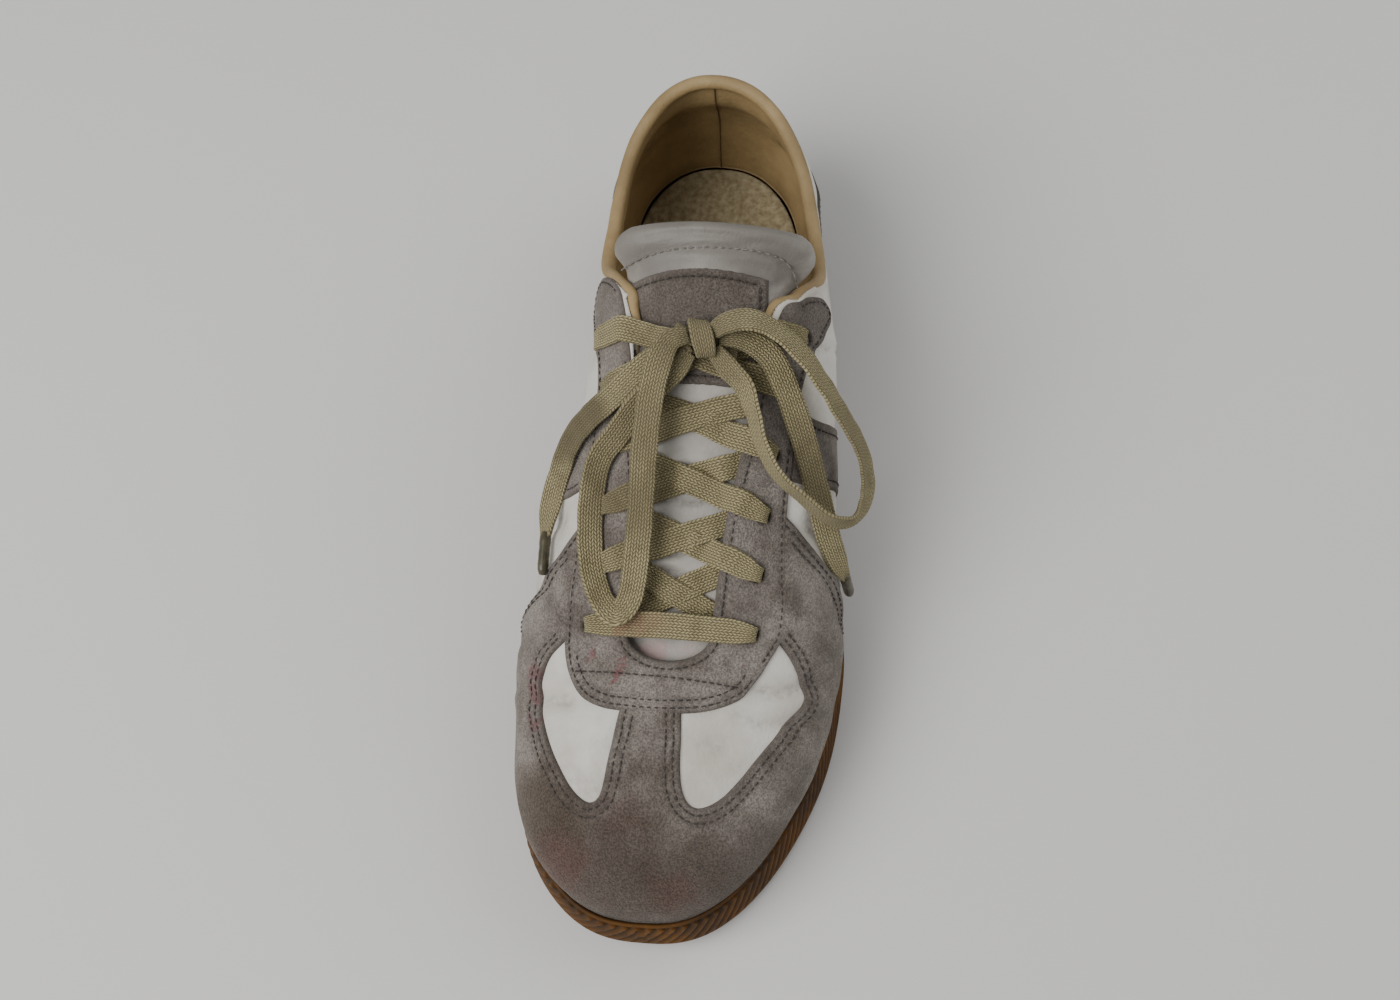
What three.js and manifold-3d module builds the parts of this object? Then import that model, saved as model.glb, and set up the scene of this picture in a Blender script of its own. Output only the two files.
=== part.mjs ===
// Low court sneaker for a left foot, empty, standing on its cupsole with its flat lace tied in a bow.
// Millimetres. +X points to the toe, +Y to the outer side of the foot, +Z up; the ground is Z = 0.
import * as THREE from "three";
import { mergeVertices } from "three/addons/utils/BufferGeometryUtils.js";
import Module from "manifold-3d";

const wasm = await Module();
wasm.setup();

// Driving dimensions
const heelX = -146;
const toeX = 146;
const soleWall = 3.5;
const gap = 0.3;
const upperWall = 2.4;
const tongueThick = 5;
const tongueClear = 0.1;
const insoleThick = 4;
const laceWide = 8;
const laceThick = 1.5;

// Tables hold [station along X, value]; smooth() draws a soft curve through them.
// Half widths of the sole's outline from the shoe's long axis
const medialHalf = [[-146, 34.5], [-110, 36.5], [-70, 34], [-35, 33.5], [0, 41], [35, 50], [62, 52.7],
  [90, 49.8], [120, 46.5], [146, 40]];
const lateralHalf = [[-146, 34.5], [-110, 38], [-70, 40], [-35, 43], [0, 48.5], [30, 53], [50, 55],
  [80, 53.3], [115, 45.5], [146, 38]];
const axisY = [[-146, 0], [40, 0], [146, -5]];
const heelRound = 40;
const heelPower = 2.3;
const toeRound = 69;
const toePower = 2.7;

// Heights of the tread (arch and toe spring), of the sole's lip and of the floor inside the cup
const groundZ = [[-146, 3], [-134, 0.6], [-122, 0], [-95, 0], [-60, 1.6], [-25, 2.6], [8, 1.2], [28, 0],
  [62, 0], [85, 0.8], [110, 2.8], [130, 5.4], [146, 8.5]];
const lipZ = [[-146, 28], [-110, 26.5], [-60, 23], [0, 21.5], [60, 21], [100, 22.5], [130, 25.5], [146, 28]];
const floorZ = [[-146, 17.5], [-100, 16.5], [-50, 14], [0, 11], [50, 9.5], [90, 10], [120, 12], [146, 15.5]];

// The last: ridge line, height of the widest girth, swell over the lip, section fullness, lean of the heel
const ridgeZ = [[-146, 112], [-100, 113], [-60, 116], [-38, 113], [-13, 101], [20, 82], [56, 65],
  [70, 59.5], [90, 52.5], [110, 47.5], [125, 44.5], [146, 41]];
const ridgeY = [[-146, 1], [-100, 3], [-38, 5.2], [-13, 4.5], [20, 2.5], [56, 0], [70, -1], [100, -3.5],
  [146, -5]];
const wideZ = [[-146, 45], [-100, 47], [-60, 62], [-38, 68], [-13, 56], [20, 40], [56, 29], [90, 27],
  [146, 26]];
const medialBulge = [[-146, 0.3], [-110, 2.3], [-70, 6.8], [-35, 6.3], [0, 3.8], [35, 2.3], [62, 2.1],
  [90, 1.8], [146, 1.2]];
const lateralBulge = [[-146, 0.3], [-110, 2.3], [-70, 4.8], [-35, 4.8], [0, 2.8], [35, 2.1], [62, 2],
  [90, 1.8], [146, 1.2]];
const sectionPower = [[-146, 2], [-38, 2], [20, 2.2], [56, 2.3], [146, 2.4]];
const heelLean = [[0, 0], [27, 0.3], [45, -0.6], [58, 0.8], [72, 4.5], [88, 8], [140, 16]];
const leanFade = 2.4;
const noseLength = 46;
const nosePower = 3;

// The throat, its rounded front end, the top of the eyestays and the collar line
const throatHalf = [[-40, 27], [-36, 23.5], [-28, 21.4], [4, 17.4], [22, 14.5], [40, 13.8], [60, 13.6]];
const throatEnd = 67.3;
const throatRound = 9;
const stayTop = -40;
const collarZ = [[-146, 86], [-130, 83], [-115, 78.5], [-100, 74.5], [-86, 73], [-72, 75.5], [-60, 82],
  [-52, 91.5], [-46, 98], [-40, 102]];

// Six pairs of punched holes up the eyestays
const holeFirstX = 56.3;
const holePitch = 17.4;
const holeCount = 6;
const holeRadius = 2.1;
const punchLong = 12;
const holeHalf = [[-30.7, 32.5], [-13.3, 28], [4.1, 25.6], [21.5, 25], [38.9, 25], [56.3, 25.6]];

// The tongue: crown line and half width
const tongueCrown = [[-58.5, 117], [-46, 111], [-38, 108], [-13, 97], [20, 78], [64, 57], [73, 53.8]];
const tongueHalf = [
  [-58.5, 27], [-57, 30], [-54.5, 31.5], [-52, 28.5], [-50, 25.5], [-47, 22.5], [-42, 22.5], [-36, 24],
  [-13, 24], [20, 22], [64, 18], [73, 15],
];
const tongueFront = 73;
const tongueTop = -58.5;
const tongueBend = -50;
const tongueSlope = 0.46;
const tongueFlat = 0.6;
const tongueEdgeThin = 0.7;
const stayBack = -46;

// Bow: the knot's place and half sizes, and the round section that stands for the flat lace
const knotPlace = [-24, 7.5, 110.2];
const knotHalf = [7, 8.2, 4.8];
const cordRadius = 2.2;

function slopeAt(table, k) {
  const a = table[Math.max(k - 1, 0)];
  const b = table[Math.min(k + 1, table.length - 1)];
  return (b[1] - a[1]) / (b[0] - a[0]);
}

function smooth(table, x) {
  const last = table.length - 1;
  if (x <= table[0][0]) return table[0][1];
  if (x >= table[last][0]) return table[last][1];
  const i = table.findIndex((row, k) => k < last && x <= table[k + 1][0]);
  const [x0, a] = table[i];
  const [x1, b] = table[i + 1];
  const t = (x - x0) / (x1 - x0);
  const m = slopeAt(table, i) * (x1 - x0);
  const n = slopeAt(table, i + 1) * (x1 - x0);
  return (a * (1 + 2 * t) + m * t) * (1 - t) ** 2 + (b * (3 - 2 * t) - n * (1 - t)) * t * t;
}

function roundOff(distance, length, power) {
  if (distance >= length) return 1;
  return Math.max(0, 1 - (1 - distance / length) ** power) ** (1 / power);
}

// Outline factor: 1 along the shoe, falling to 0 at the rounded heel and toe
function endRound(x) {
  return roundOff(x - heelX, heelRound, heelPower) * roundOff(toeX - x, toeRound, toePower);
}

function halfWidth(x, side) {
  return smooth(side > 0 ? lateralHalf : medialHalf, x);
}

function ground(x) {
  return Math.max(0, smooth(groundZ, x));
}

// A point of the sole's outline, moved inward by inset
function soleEdge(x, side, inset, z) {
  const u = (x - heelX) / (toeX - heelX);
  const px = heelX + inset + u * (toeX - heelX - 2 * inset);
  return [px, smooth(axisY, x) + side * (halfWidth(x, side) - inset) * endRound(x), z];
}

// Centre line of a girth section: straight up to the lip, then drifting over to the ridge line
function centreY(x, z) {
  const lip = smooth(lipZ, x);
  const drift = Math.min(1, Math.max(0, (z - lip) / (smooth(ridgeZ, x) - lip)));
  return smooth(axisY, x) + (smooth(ridgeY, x) - smooth(axisY, x)) * drift;
}

// A point of the last's surface: rise runs from 0 at the cup's floor to 1 at the ridge line,
// and inset moves the surface inward, so that nested shells share their stations.
function lastPoint(x, rise, side, inset) {
  const base = smooth(floorZ, x) + gap;
  const nose = roundOff(toeX - x, noseLength, nosePower);
  const top = base + (smooth(ridgeZ, x) - inset - base) * nose;
  const wide = base + (smooth(wideZ, x) - base) * nose;
  const z = base + (top - base) * rise;
  const lip = smooth(lipZ, x);
  const k = Math.min(1, Math.max(0, (z - lip) / Math.max(8, smooth(wideZ, x) - lip)));
  const swell = 1 - (1 - k) ** 2;
  const inward = soleWall + gap + inset;
  const d = inward - swell * smooth(side > 0 ? lateralBulge : medialBulge, x);
  const dEnd = inward - (swell * (smooth(lateralBulge, x) + smooth(medialBulge, x))) / 2;
  const u = (x - heelX) / (toeX - heelX);
  const fade = Math.max(0, 1 - u * leanFade);
  const px = heelX + dEnd + u * (toeX - heelX - 2 * dEnd) + smooth(heelLean, z) * fade * fade;
  const power = smooth(sectionPower, x);
  const s = Math.max(0, (z - wide) / Math.max(top - wide, 1e-6));
  const narrow = Math.max(0, 1 - s ** power) ** (1 / power);
  return [px, centreY(x, z) + side * (halfWidth(x, side) - d) * endRound(x) * narrow, z];
}

// The rise at which the surface is a given half width away from the centre line
function riseAtHalf(x, side, wanted, inset = 0) {
  let low = 0;
  let high = 1;
  for (let k = 0; k < 40; k++) {
    const mid = (low + high) / 2;
    const [, y, z] = lastPoint(x, mid, side, inset);
    if (Math.abs(y - centreY(x, z)) > wanted) low = mid;
    else high = mid;
  }
  return (low + high) / 2;
}

function throatHalfAt(x) {
  return smooth(throatHalf, x) * roundOff(throatEnd - x, throatRound, 2);
}

// Top edge of the upper: closed over the toe, then the throat, the eyestay tops and the collar
function topRise(x, side) {
  if (x >= throatEnd) return 1;
  if (x >= stayTop) return riseAtHalf(x, side, throatHalfAt(x));
  const base = smooth(floorZ, x) + gap;
  return (smooth(collarZ, x) - base) / (smooth(ridgeZ, x) - base);
}

// Steps from a to b, crowded towards either or both ends
function steps(a, b, count, crowd) {
  const ease = {
    none: (t) => t,
    start: (t) => 1 - Math.cos((t * Math.PI) / 2),
    end: (t) => Math.sin((t * Math.PI) / 2),
  }[crowd];
  return Array.from({ length: count }, (_, k) => a + (b - a) * ease(k / count));
}

const stations = [
  ...steps(heelX, -104, 8, "start"),
  ...steps(-104, -52, 6, "none"),
  ...steps(-52, stayTop, 3, "none"),
  ...steps(stayTop, throatEnd - throatRound, 10, "none"),
  ...steps(throatEnd - throatRound, throatEnd, 5, "end"),
  ...steps(throatEnd, 100, 3, "none"),
  ...steps(100, toeX, 10, "end"),
  toeX,
];

// Collects triangles, then returns one closed geometry with its faces pointing out
class Skin {
  constructor() {
    this.points = [];
  }

  triangle(a, b, c) {
    this.points.push(...a, ...b, ...c);
  }

  // Joins two rows of points that run the same way
  strip(rowA, rowB) {
    for (let k = 0; k + 1 < rowA.length; k++) {
      this.triangle(rowA[k], rowB[k], rowB[k + 1]);
      this.triangle(rowA[k], rowB[k + 1], rowA[k + 1]);
    }
  }

  grid(rows) {
    for (let k = 0; k + 1 < rows.length; k++) this.strip(rows[k], rows[k + 1]);
  }

  geometry() {
    const raw = new THREE.BufferGeometry();
    raw.setAttribute("position", new THREE.Float32BufferAttribute(this.points, 3));
    const merged = mergeVertices(raw, 1e-3);
    const index = merged.getIndex().array;
    const kept = [];
    for (let k = 0; k < index.length; k += 3) {
      const [a, b, c] = [index[k], index[k + 1], index[k + 2]];
      if (a !== b && b !== c && c !== a) kept.push(a, b, c);
    }
    merged.setIndex(kept);
    if (signedVolume(merged) < 0) merged.setIndex(kept.reverse());
    return merged;
  }
}

function signedVolume(geometry) {
  const at = geometry.getAttribute("position");
  const index = geometry.getIndex().array;
  const [a, b, c] = [new THREE.Vector3(), new THREE.Vector3(), new THREE.Vector3()];
  let sum = 0;
  for (let k = 0; k < index.length; k += 3) {
    a.fromBufferAttribute(at, index[k]);
    b.fromBufferAttribute(at, index[k + 1]);
    c.fromBufferAttribute(at, index[k + 2]);
    sum += a.dot(b.cross(c));
  }
  return sum / 6;
}

// Solids for cutting and joining
function toSolid(geometry) {
  const bare = geometry.clone();
  for (const name of ["normal", "uv"]) bare.deleteAttribute(name);
  const merged = mergeVertices(bare, 1e-4);
  return new wasm.Manifold(new wasm.Mesh({
    numProp: 3,
    vertProperties: new Float32Array(merged.getAttribute("position").array),
    triVerts: new Uint32Array(merged.getIndex().array),
  }));
}

function toGeometry(solid) {
  const mesh = solid.getMesh();
  const geometry = new THREE.BufferGeometry();
  geometry.setAttribute("position", new THREE.BufferAttribute(new Float32Array(mesh.vertProperties), 3));
  geometry.setIndex(Array.from(mesh.triVerts));
  return geometry;
}

const shoe = new THREE.Group();

function add(name, geometry, color, roughness) {
  const flat = geometry.getAttribute("normal") ? geometry : geometry.clone();
  flat.computeVertexNormals();
  const mesh = new THREE.Mesh(flat, new THREE.MeshStandardMaterial({ color, roughness, metalness: 0 }));
  mesh.name = name;
  shoe.add(mesh);
}

// Closed ring of points round the shoe at one level: inner side heel to toe, outer side back again
function around(level) {
  const inner = stations.map((x) => level(x, -1));
  const outer = stations.map((x) => level(x, 1));
  return [...inner, ...outer.slice(0, -1).reverse()];
}

// Fills a level with strips running across the shoe
function across(skin, level, facingUp) {
  const inner = stations.map((x) => level(x, -1));
  const outer = stations.map((x) => level(x, 1));
  if (facingUp) skin.strip(inner, outer);
  else skin.strip(outer, inner);
}

// Cupsole: tread, sides, lip and the cup that the upper stands in
const treadInset = 1.6;
const footInset = 0.3;
const footRise = 2.2;
const lipFall = 1;
const lipInset = 0.7;

function soleGeometry() {
  const tread = (x, side) => soleEdge(x, side, treadInset, ground(x));
  const foot = (x, side) => soleEdge(x, side, footInset, ground(x) + footRise);
  const shoulder = (x, side) => soleEdge(x, side, 0, smooth(lipZ, x) - lipFall);
  const lip = (x, side) => soleEdge(x, side, lipInset, smooth(lipZ, x));
  const cup = (x, side) => soleEdge(x, side, soleWall, smooth(lipZ, x));
  const floor = (x, side) => soleEdge(x, side, soleWall, smooth(floorZ, x));
  const skin = new Skin();
  skin.grid([tread, foot, shoulder, lip, cup, floor].map(around));
  across(skin, tread, false);
  across(skin, floor, true);
  return skin.geometry();
}

// Grooves across the tread under heel and forefoot leave flat lugs between them
const grooveWide = 2.4;
const grooveDeep = 1.6;
const groovePitch = 9;
const grooveRuns = [[-130, 6], [12, 12]];
const cutterWide = 140;
const cutterTall = 20;

function cutGrooves(geometry) {
  let solid = toSolid(geometry);
  for (const [start, count] of grooveRuns) {
    for (let k = 0; k < count; k++) {
      const x = start + k * groovePitch;
      const box = new THREE.BoxGeometry(grooveWide, cutterWide, cutterTall);
      box.translate(x, 0, ground(x) + grooveDeep - cutterTall / 2);
      solid = solid.subtract(toSolid(box));
    }
  }
  return toGeometry(solid);
}

// Upper: two nested sides of the last, open at collar, throat and underneath.
// Each column has a point on the seat, one just over the sole's lip, then an even run to the top edge.
const upperRows = 9;

function columnRises(x, skinSide) {
  const base = smooth(floorZ, x) + gap;
  const top = base + (smooth(ridgeZ, x) - base) * roundOff(toeX - x, noseLength, nosePower);
  const last = Math.asin(Math.min(1, topRise(x, skinSide)));
  const overLip = (smooth(lipZ, x) + gap - base) / Math.max(top - base, 1e-6);
  const first = Math.asin(Math.min(overLip, 0.97 * Math.sin(last)));
  const even = Array.from({ length: upperRows }, (_, k) =>
    Math.sin(first + ((last - first) * k) / (upperRows - 1)));
  return [0, ...even];
}

function side(skinSide, inset) {
  return stations.map((x) => columnRises(x, skinSide).map((rise) => lastPoint(x, rise, skinSide, inset)));
}

function upperGeometry() {
  const skin = new Skin();
  const openCount = stations.filter((x) => x <= throatEnd).length;
  for (const s of [-1, 1]) {
    const outer = side(s, 0);
    const inner = side(s, upperWall);
    const feather = [outer, inner].map((grid) => grid.map((column) => column[0]));
    const rim = [outer, inner].map((grid) => grid.slice(0, openCount).map((column) => column[upperRows]));
    const facing = (first, second) => (s > 0 ? [first, second] : [second, first]);
    skin.grid(s > 0 ? outer : outer.slice().reverse());
    skin.grid(s > 0 ? inner.slice().reverse() : inner);
    skin.strip(...facing(feather[0], feather[1]));
    skin.strip(...facing(rim[1], rim[0]));
  }
  return skin.geometry();
}

// A spot on the last's surface, given by its station and its signed distance across from the centre line
function spot(x, across, inset = 0) {
  const s = across < 0 ? -1 : 1;
  return new THREE.Vector3(...lastPoint(x, riseAtHalf(x, s, Math.abs(across), inset), s, inset));
}

function surfaceNormal(x, across) {
  const along = spot(x + 0.5, across).sub(spot(x - 0.5, across));
  const over = spot(x, across + 0.5).sub(spot(x, across - 0.5));
  return along.cross(over).normalize();
}

function lifted(x, across, lift) {
  return spot(x, across).addScaledVector(surfaceNormal(x, across), lift);
}

function punchHoles(geometry) {
  let solid = toSolid(geometry);
  for (let k = 0; k < holeCount; k++) {
    const x = holeFirstX - k * holePitch;
    for (const s of [-1, 1]) {
      const across = s * smooth(holeHalf, x);
      const punch = new THREE.CylinderGeometry(holeRadius, holeRadius, punchLong, 10);
      const turn = new THREE.Quaternion();
      turn.setFromUnitVectors(new THREE.Vector3(0, 1, 0), surfaceNormal(x, across));
      punch.applyQuaternion(turn);
      punch.translate(...spot(x, across));
      solid = solid.subtract(toSolid(punch));
    }
  }
  return toGeometry(solid);
}

// Tongue: lies just under the eyestays and stands up free behind them, flatter towards its top
function tonguePoint(x, across, lift) {
  const under = upperWall + gap + tongueClear;
  const held = Math.max(x, stayBack);
  const point = spot(held, across, under);
  const crown = spot(held, 0, under);
  const flat = 1 - tongueFlat * THREE.MathUtils.smoothstep(stayBack - x, 0, 10);
  const unit = Math.hypot(1, tongueSlope);
  const z = smooth(tongueCrown, x) + (point.z - crown.z) * flat;
  return new THREE.Vector3(point.x + x - held + (lift * tongueSlope) / unit, point.y, z + lift / unit);
}

const tongueColumns = 14;

function tongueGeometry() {
  const rows = [
    ...steps(tongueFront, tongueBend, 16, "none"),
    ...steps(tongueBend, tongueTop, 5, "end"),
    tongueTop,
  ];
  const sheet = (below) => rows.map((x) => Array.from({ length: tongueColumns + 1 }, (_, k) => {
    const v = Math.sin(((k / tongueColumns) * 2 - 1) * (Math.PI / 2));
    const thick = tongueThick * (1 - tongueEdgeThin * Math.abs(v) ** 5);
    return tonguePoint(x, v * smooth(tongueHalf, x), below ? -thick : 0).toArray();
  }));
  const [top, bottom] = [sheet(false), sheet(true)];
  const edge = (grid, k) => grid.map((row) => row[k]);
  const skin = new Skin();
  skin.grid(top);
  skin.grid(bottom.slice().reverse());
  skin.strip(bottom[0], top[0]);
  skin.strip(top.at(-1), bottom.at(-1));
  skin.strip(edge(bottom, tongueColumns), edge(top, tongueColumns));
  skin.strip(edge(top, 0), edge(bottom, 0));
  return skin.geometry();
}

// Insole: fills the inside of the upper's feather edge, on the floor of the cup
const insoleClear = 0.8;

function insoleGeometry() {
  const inset = soleWall + gap + upperWall + gap + insoleClear;
  const bottom = (x, s) => soleEdge(x, s, inset, smooth(floorZ, x) + gap);
  const top = (x, s) => soleEdge(x, s, inset, smooth(floorZ, x) + gap + insoleThick);
  const skin = new Skin();
  skin.grid([bottom, top].map(around));
  across(skin, bottom, false);
  across(skin, top, true);
  return skin.geometry();
}

// Flat lace along a run of places, each { point, normal }, with square ends
function laceGeometry(run) {
  const rings = run.map(({ point, normal }, k) => {
    const before = run[Math.max(k - 1, 0)].point;
    const after = run[Math.min(k + 1, run.length - 1)].point;
    const width = after.clone().sub(before).cross(normal).normalize().multiplyScalar(laceWide / 2);
    const depth = normal.clone().multiplyScalar(laceThick / 2);
    const corners = [[1, 1], [-1, 1], [-1, -1], [1, -1], [1, 1]];
    return corners.map(([a, b]) => {
      const corner = point.clone().addScaledVector(width, a);
      return corner.addScaledVector(depth, b).toArray();
    });
  });
  const skin = new Skin();
  skin.grid(rings);
  const first = rings[0];
  const last = rings.at(-1);
  skin.triangle(first[0], first[1], first[2]);
  skin.triangle(first[0], first[2], first[3]);
  skin.triangle(last[2], last[1], last[0]);
  skin.triangle(last[3], last[2], last[0]);
  return skin.geometry();
}

const overStay = 1.2;
const overTongue = 1.3;
const bridgeSteps = 10;
const dropStart = 2;
const dropLength = 6;

// A length of lace from a point over one eyestay, down onto the tongue, to a point across the throat
function laceRun(fromX, fromAcross, toX, toAcross, tongueLift) {
  const s = Math.sign(fromAcross);
  const startsInside = Math.abs(fromAcross) < throatHalfAt(fromX);
  return Array.from({ length: bridgeSteps + 1 }, (_, k) => {
    const t = k / bridgeSteps;
    const x = fromX + (toX - fromX) * t;
    const a = fromAcross + (toAcross - fromAcross) * t;
    const inside = throatHalfAt(x) - dropStart - s * a;
    const blend = startsInside ? 1 : THREE.MathUtils.smoothstep(inside, 0, dropLength);
    const high = lifted(x, a, overStay);
    const low = tonguePoint(x, a, tongueLift);
    return { point: high.lerp(low, blend), normal: surfaceNormal(x, a) };
  });
}

function barRun() {
  const reach = smooth(holeHalf, holeFirstX) + 1;
  return Array.from({ length: bridgeSteps + 1 }, (_, k) => {
    const a = -reach + (2 * reach * k) / bridgeSteps;
    return { point: lifted(holeFirstX, a, overStay), normal: surfaceNormal(holeFirstX, a) };
  });
}

// Two lengths of lace that cross in the middle, joined as one solid. The first crossing lies wholly
// inside the throat; each later one starts at a pair of holes and gains most of a pitch on its way.
const crossInset = 4.6;
const firstCross = { fromX: 51, toX: 41, inset: 3.6 };
const crossGain = 0.8;

function crossing(fromX, toX, reach) {
  const edge = throatHalfAt(toX) - crossInset;
  const runs = [-1, 1].map((s) => laceRun(fromX, s * reach, toX, -s * edge, overTongue));
  const [a, b] = runs.map((run) => toSolid(laceGeometry(run)));
  return toGeometry(a.add(b));
}

// Round stand-in for a free length of lace
function cordGeometry(route) {
  const path = new THREE.CatmullRomCurve3(route.map((p) => new THREE.Vector3(...p)), false, "centripetal");
  const sides = 8;
  const outline = Array.from({ length: sides }, (_, k) => {
    const turn = (k * 2 * Math.PI) / sides;
    return new THREE.Vector2(cordRadius * Math.cos(turn), cordRadius * Math.sin(turn));
  });
  const count = Math.ceil(path.getLength() / (cordRadius * 4));
  const options = { steps: count, extrudePath: path, bevelEnabled: false };
  return new THREE.ExtrudeGeometry(new THREE.Shape(outline), options);
}

function knotGeometry() {
  const knot = new THREE.SphereGeometry(1, 14, 8);
  knot.scale(...knotHalf);
  knot.translate(...knotPlace);
  return knot;
}

// Free lengths of the bow, from the knot outward
const loopMedial = [
  [-20.5, -3.2, 111.5], [-15, -6, 110], [-9, -7.5, 107], [-1.5, -8.6, 103.8], [10.5, -9.8, 96],
  [24.5, -10.2, 87.5], [40, -11.2, 78.5], [49.8, -12.6, 73.2], [54.6, -16.5, 70.6], [50.5, -21.5, 70.8],
  [41.5, -25.2, 72.6], [31, -26.8, 75.6], [19, -26.8, 80.6], [9.4, -24.6, 86.8], [3, -19, 92.5],
  [-3, -14, 97.6], [-8.5, -8, 101.6], [-14, -1.5, 104.6],
];
const endMedial = [
  [-18.8, -2.4, 106.3], [-16.8, -9, 104.4], [-13, -14.5, 101.8], [-8, -21, 96.6], [-4.2, -29.5, 87.2],
  [-0.5, -36, 76.6], [7, -40.2, 67.4], [17.5, -43, 62.2], [27, -43.6, 60.6],
];
const loopLateral = [
  [-27.5, 14, 116.4], [-29.5, 20, 117], [-28.4, 27, 114], [-22.5, 35.5, 108], [-16, 43, 98.5],
  [-10, 50, 87], [-5, 56, 76], [0.5, 59, 67.5], [7, 59.6, 63.5], [14, 57.5, 65], [20, 53, 70.5],
  [20.8, 46, 78], [17.5, 38.6, 84.4], [13, 31.5, 89.6], [6.6, 26.5, 94.8], [-2, 23, 100.5],
  [-9, 20, 104.4], [-14.6, 14.5, 107.2],
];
const endLateral = [
  [-23.5, 18.4, 109], [-20.8, 26.6, 104.4], [-12.6, 32.2, 99.4], [-4, 37, 90.4], [3.7, 40.6, 81.4],
  [13, 44.2, 72.6], [22.3, 47.8, 63.6], [27.6, 51.2, 55.2], [30.2, 54, 47],
];
// Stiff tips that close the two free ends
const aglets = {
  aglet_medial: [[27.6, -43.6, 60.5], [38, -43.4, 59.4]],
  aglet_lateral: [[30.4, 54.2, 46.2], [32, 55.8, 36.5]],
};

// Ends of the two top lengths of lace, beside the knot
const tailX = -27.5;
const tailLift = 3.6;
const tailStops = [["medial", -1, -8.7], ["lateral", 1, 13]];

const gum = 0x8a5a2b;
const leather = 0xdcdad6;
const sock = 0xb9a582;
const cotton = 0x8b8260;
const tip = 0x4a3524;

add("sole", cutGrooves(soleGeometry()), gum, 0.6);
add("upper", punchHoles(upperGeometry()), leather, 0.5);
add("tongue", tongueGeometry(), leather, 0.5);
add("insole", insoleGeometry(), sock, 0.9);
add("lace_bar", laceGeometry(barRun()), cotton, 0.9);
const firstReach = throatHalfAt(firstCross.fromX) - firstCross.inset;
add("lace_cross_1", crossing(firstCross.fromX, firstCross.toX, firstReach), cotton, 0.9);
for (let k = 1; k < holeCount - 1; k++) {
  const x = holeFirstX - k * holePitch;
  const reach = smooth(holeHalf, x) + 1;
  add(`lace_cross_${k + 1}`, crossing(x, x - crossGain * holePitch, reach), cotton, 0.9);
}
const lastHoleX = holeFirstX - (holeCount - 1) * holePitch;
for (const [name, s, stop] of tailStops) {
  const reach = s * (smooth(holeHalf, lastHoleX) + 1);
  add(`lace_tail_${name}`, laceGeometry(laceRun(lastHoleX, reach, tailX, stop, tailLift)), cotton, 0.9);
}
add("lace_knot", knotGeometry(), cotton, 0.9);
add("lace_loop_medial", cordGeometry(loopMedial), cotton, 0.9);
add("lace_loop_lateral", cordGeometry(loopLateral), cotton, 0.9);
add("lace_end_medial", cordGeometry(endMedial), cotton, 0.9);
add("lace_end_lateral", cordGeometry(endLateral), cotton, 0.9);
for (const [name, route] of Object.entries(aglets)) add(name, cordGeometry(route), tip, 0.4);

export default shoe;
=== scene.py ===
# Worn low court sneaker for a left foot. Sizes are in millimetres here and in metres in the meshes.
# +X points to the toe, +Y to the outer side of the foot, +Z up, and the ground is Z = 0.
import bpy
import math
import random
import numpy as np
from mathutils import Matrix, Vector, noise
from mathutils.geometry import delaunay_2d_cdt


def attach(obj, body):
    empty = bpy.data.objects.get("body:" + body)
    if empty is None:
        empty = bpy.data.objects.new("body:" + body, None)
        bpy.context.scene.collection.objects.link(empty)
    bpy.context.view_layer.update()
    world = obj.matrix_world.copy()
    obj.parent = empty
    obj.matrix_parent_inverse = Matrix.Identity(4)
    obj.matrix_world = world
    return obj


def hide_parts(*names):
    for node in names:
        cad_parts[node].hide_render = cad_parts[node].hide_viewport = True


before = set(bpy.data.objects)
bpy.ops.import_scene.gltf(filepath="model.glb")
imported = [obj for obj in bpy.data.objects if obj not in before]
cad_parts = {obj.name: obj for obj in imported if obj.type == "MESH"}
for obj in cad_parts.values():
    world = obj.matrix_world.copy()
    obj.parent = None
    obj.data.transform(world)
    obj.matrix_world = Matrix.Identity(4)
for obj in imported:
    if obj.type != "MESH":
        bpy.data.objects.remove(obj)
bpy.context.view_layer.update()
mm = 0.001


view = {
    "place": (198.1, 47.2, 543.5),  # above the toe, looking down the instep
    "aim": (4, 4, 42),
    "up": (-0.946, -0.057, 0.319),
    "lens": 41.0,
}


def makeCamera():
    place = Vector(view["place"])
    forward = (Vector(view["aim"]) - place).normalized()
    right = forward.cross(Vector(view["up"])).normalized()
    up = right.cross(forward)
    camera = bpy.data.objects.new("camera", bpy.data.cameras.new("camera"))
    camera.data.lens = view["lens"]
    camera.data.clip_start = 0.01
    turn = Matrix((right, up, -forward)).transposed().to_4x4()
    camera.matrix_world = Matrix.Translation(place * mm) @ turn
    bpy.context.scene.collection.objects.link(camera)
    bpy.context.scene.camera = camera


def linear(hexColour):
    parts = [int(hexColour[k:k + 2], 16) / 255 for k in (1, 3, 5)]
    return [c / 12.92 if c <= 0.04045 else ((c + 0.055) / 1.055) ** 2.4 for c in parts] + [1.0]


# An input is a value, a socket, or a node that stands for its first output
def addNode(tree, kind, settings={}, inputs={}):
    made = tree.nodes.new(kind)
    for key, value in settings.items():
        setattr(made, key, value)
    for key, value in inputs.items():
        if isinstance(value, bpy.types.Node):
            value = value.outputs[0]
        if isinstance(value, bpy.types.NodeSocket):
            tree.links.new(value, made.inputs[key])
        else:
            made.inputs[key].default_value = value
    return made


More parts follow.
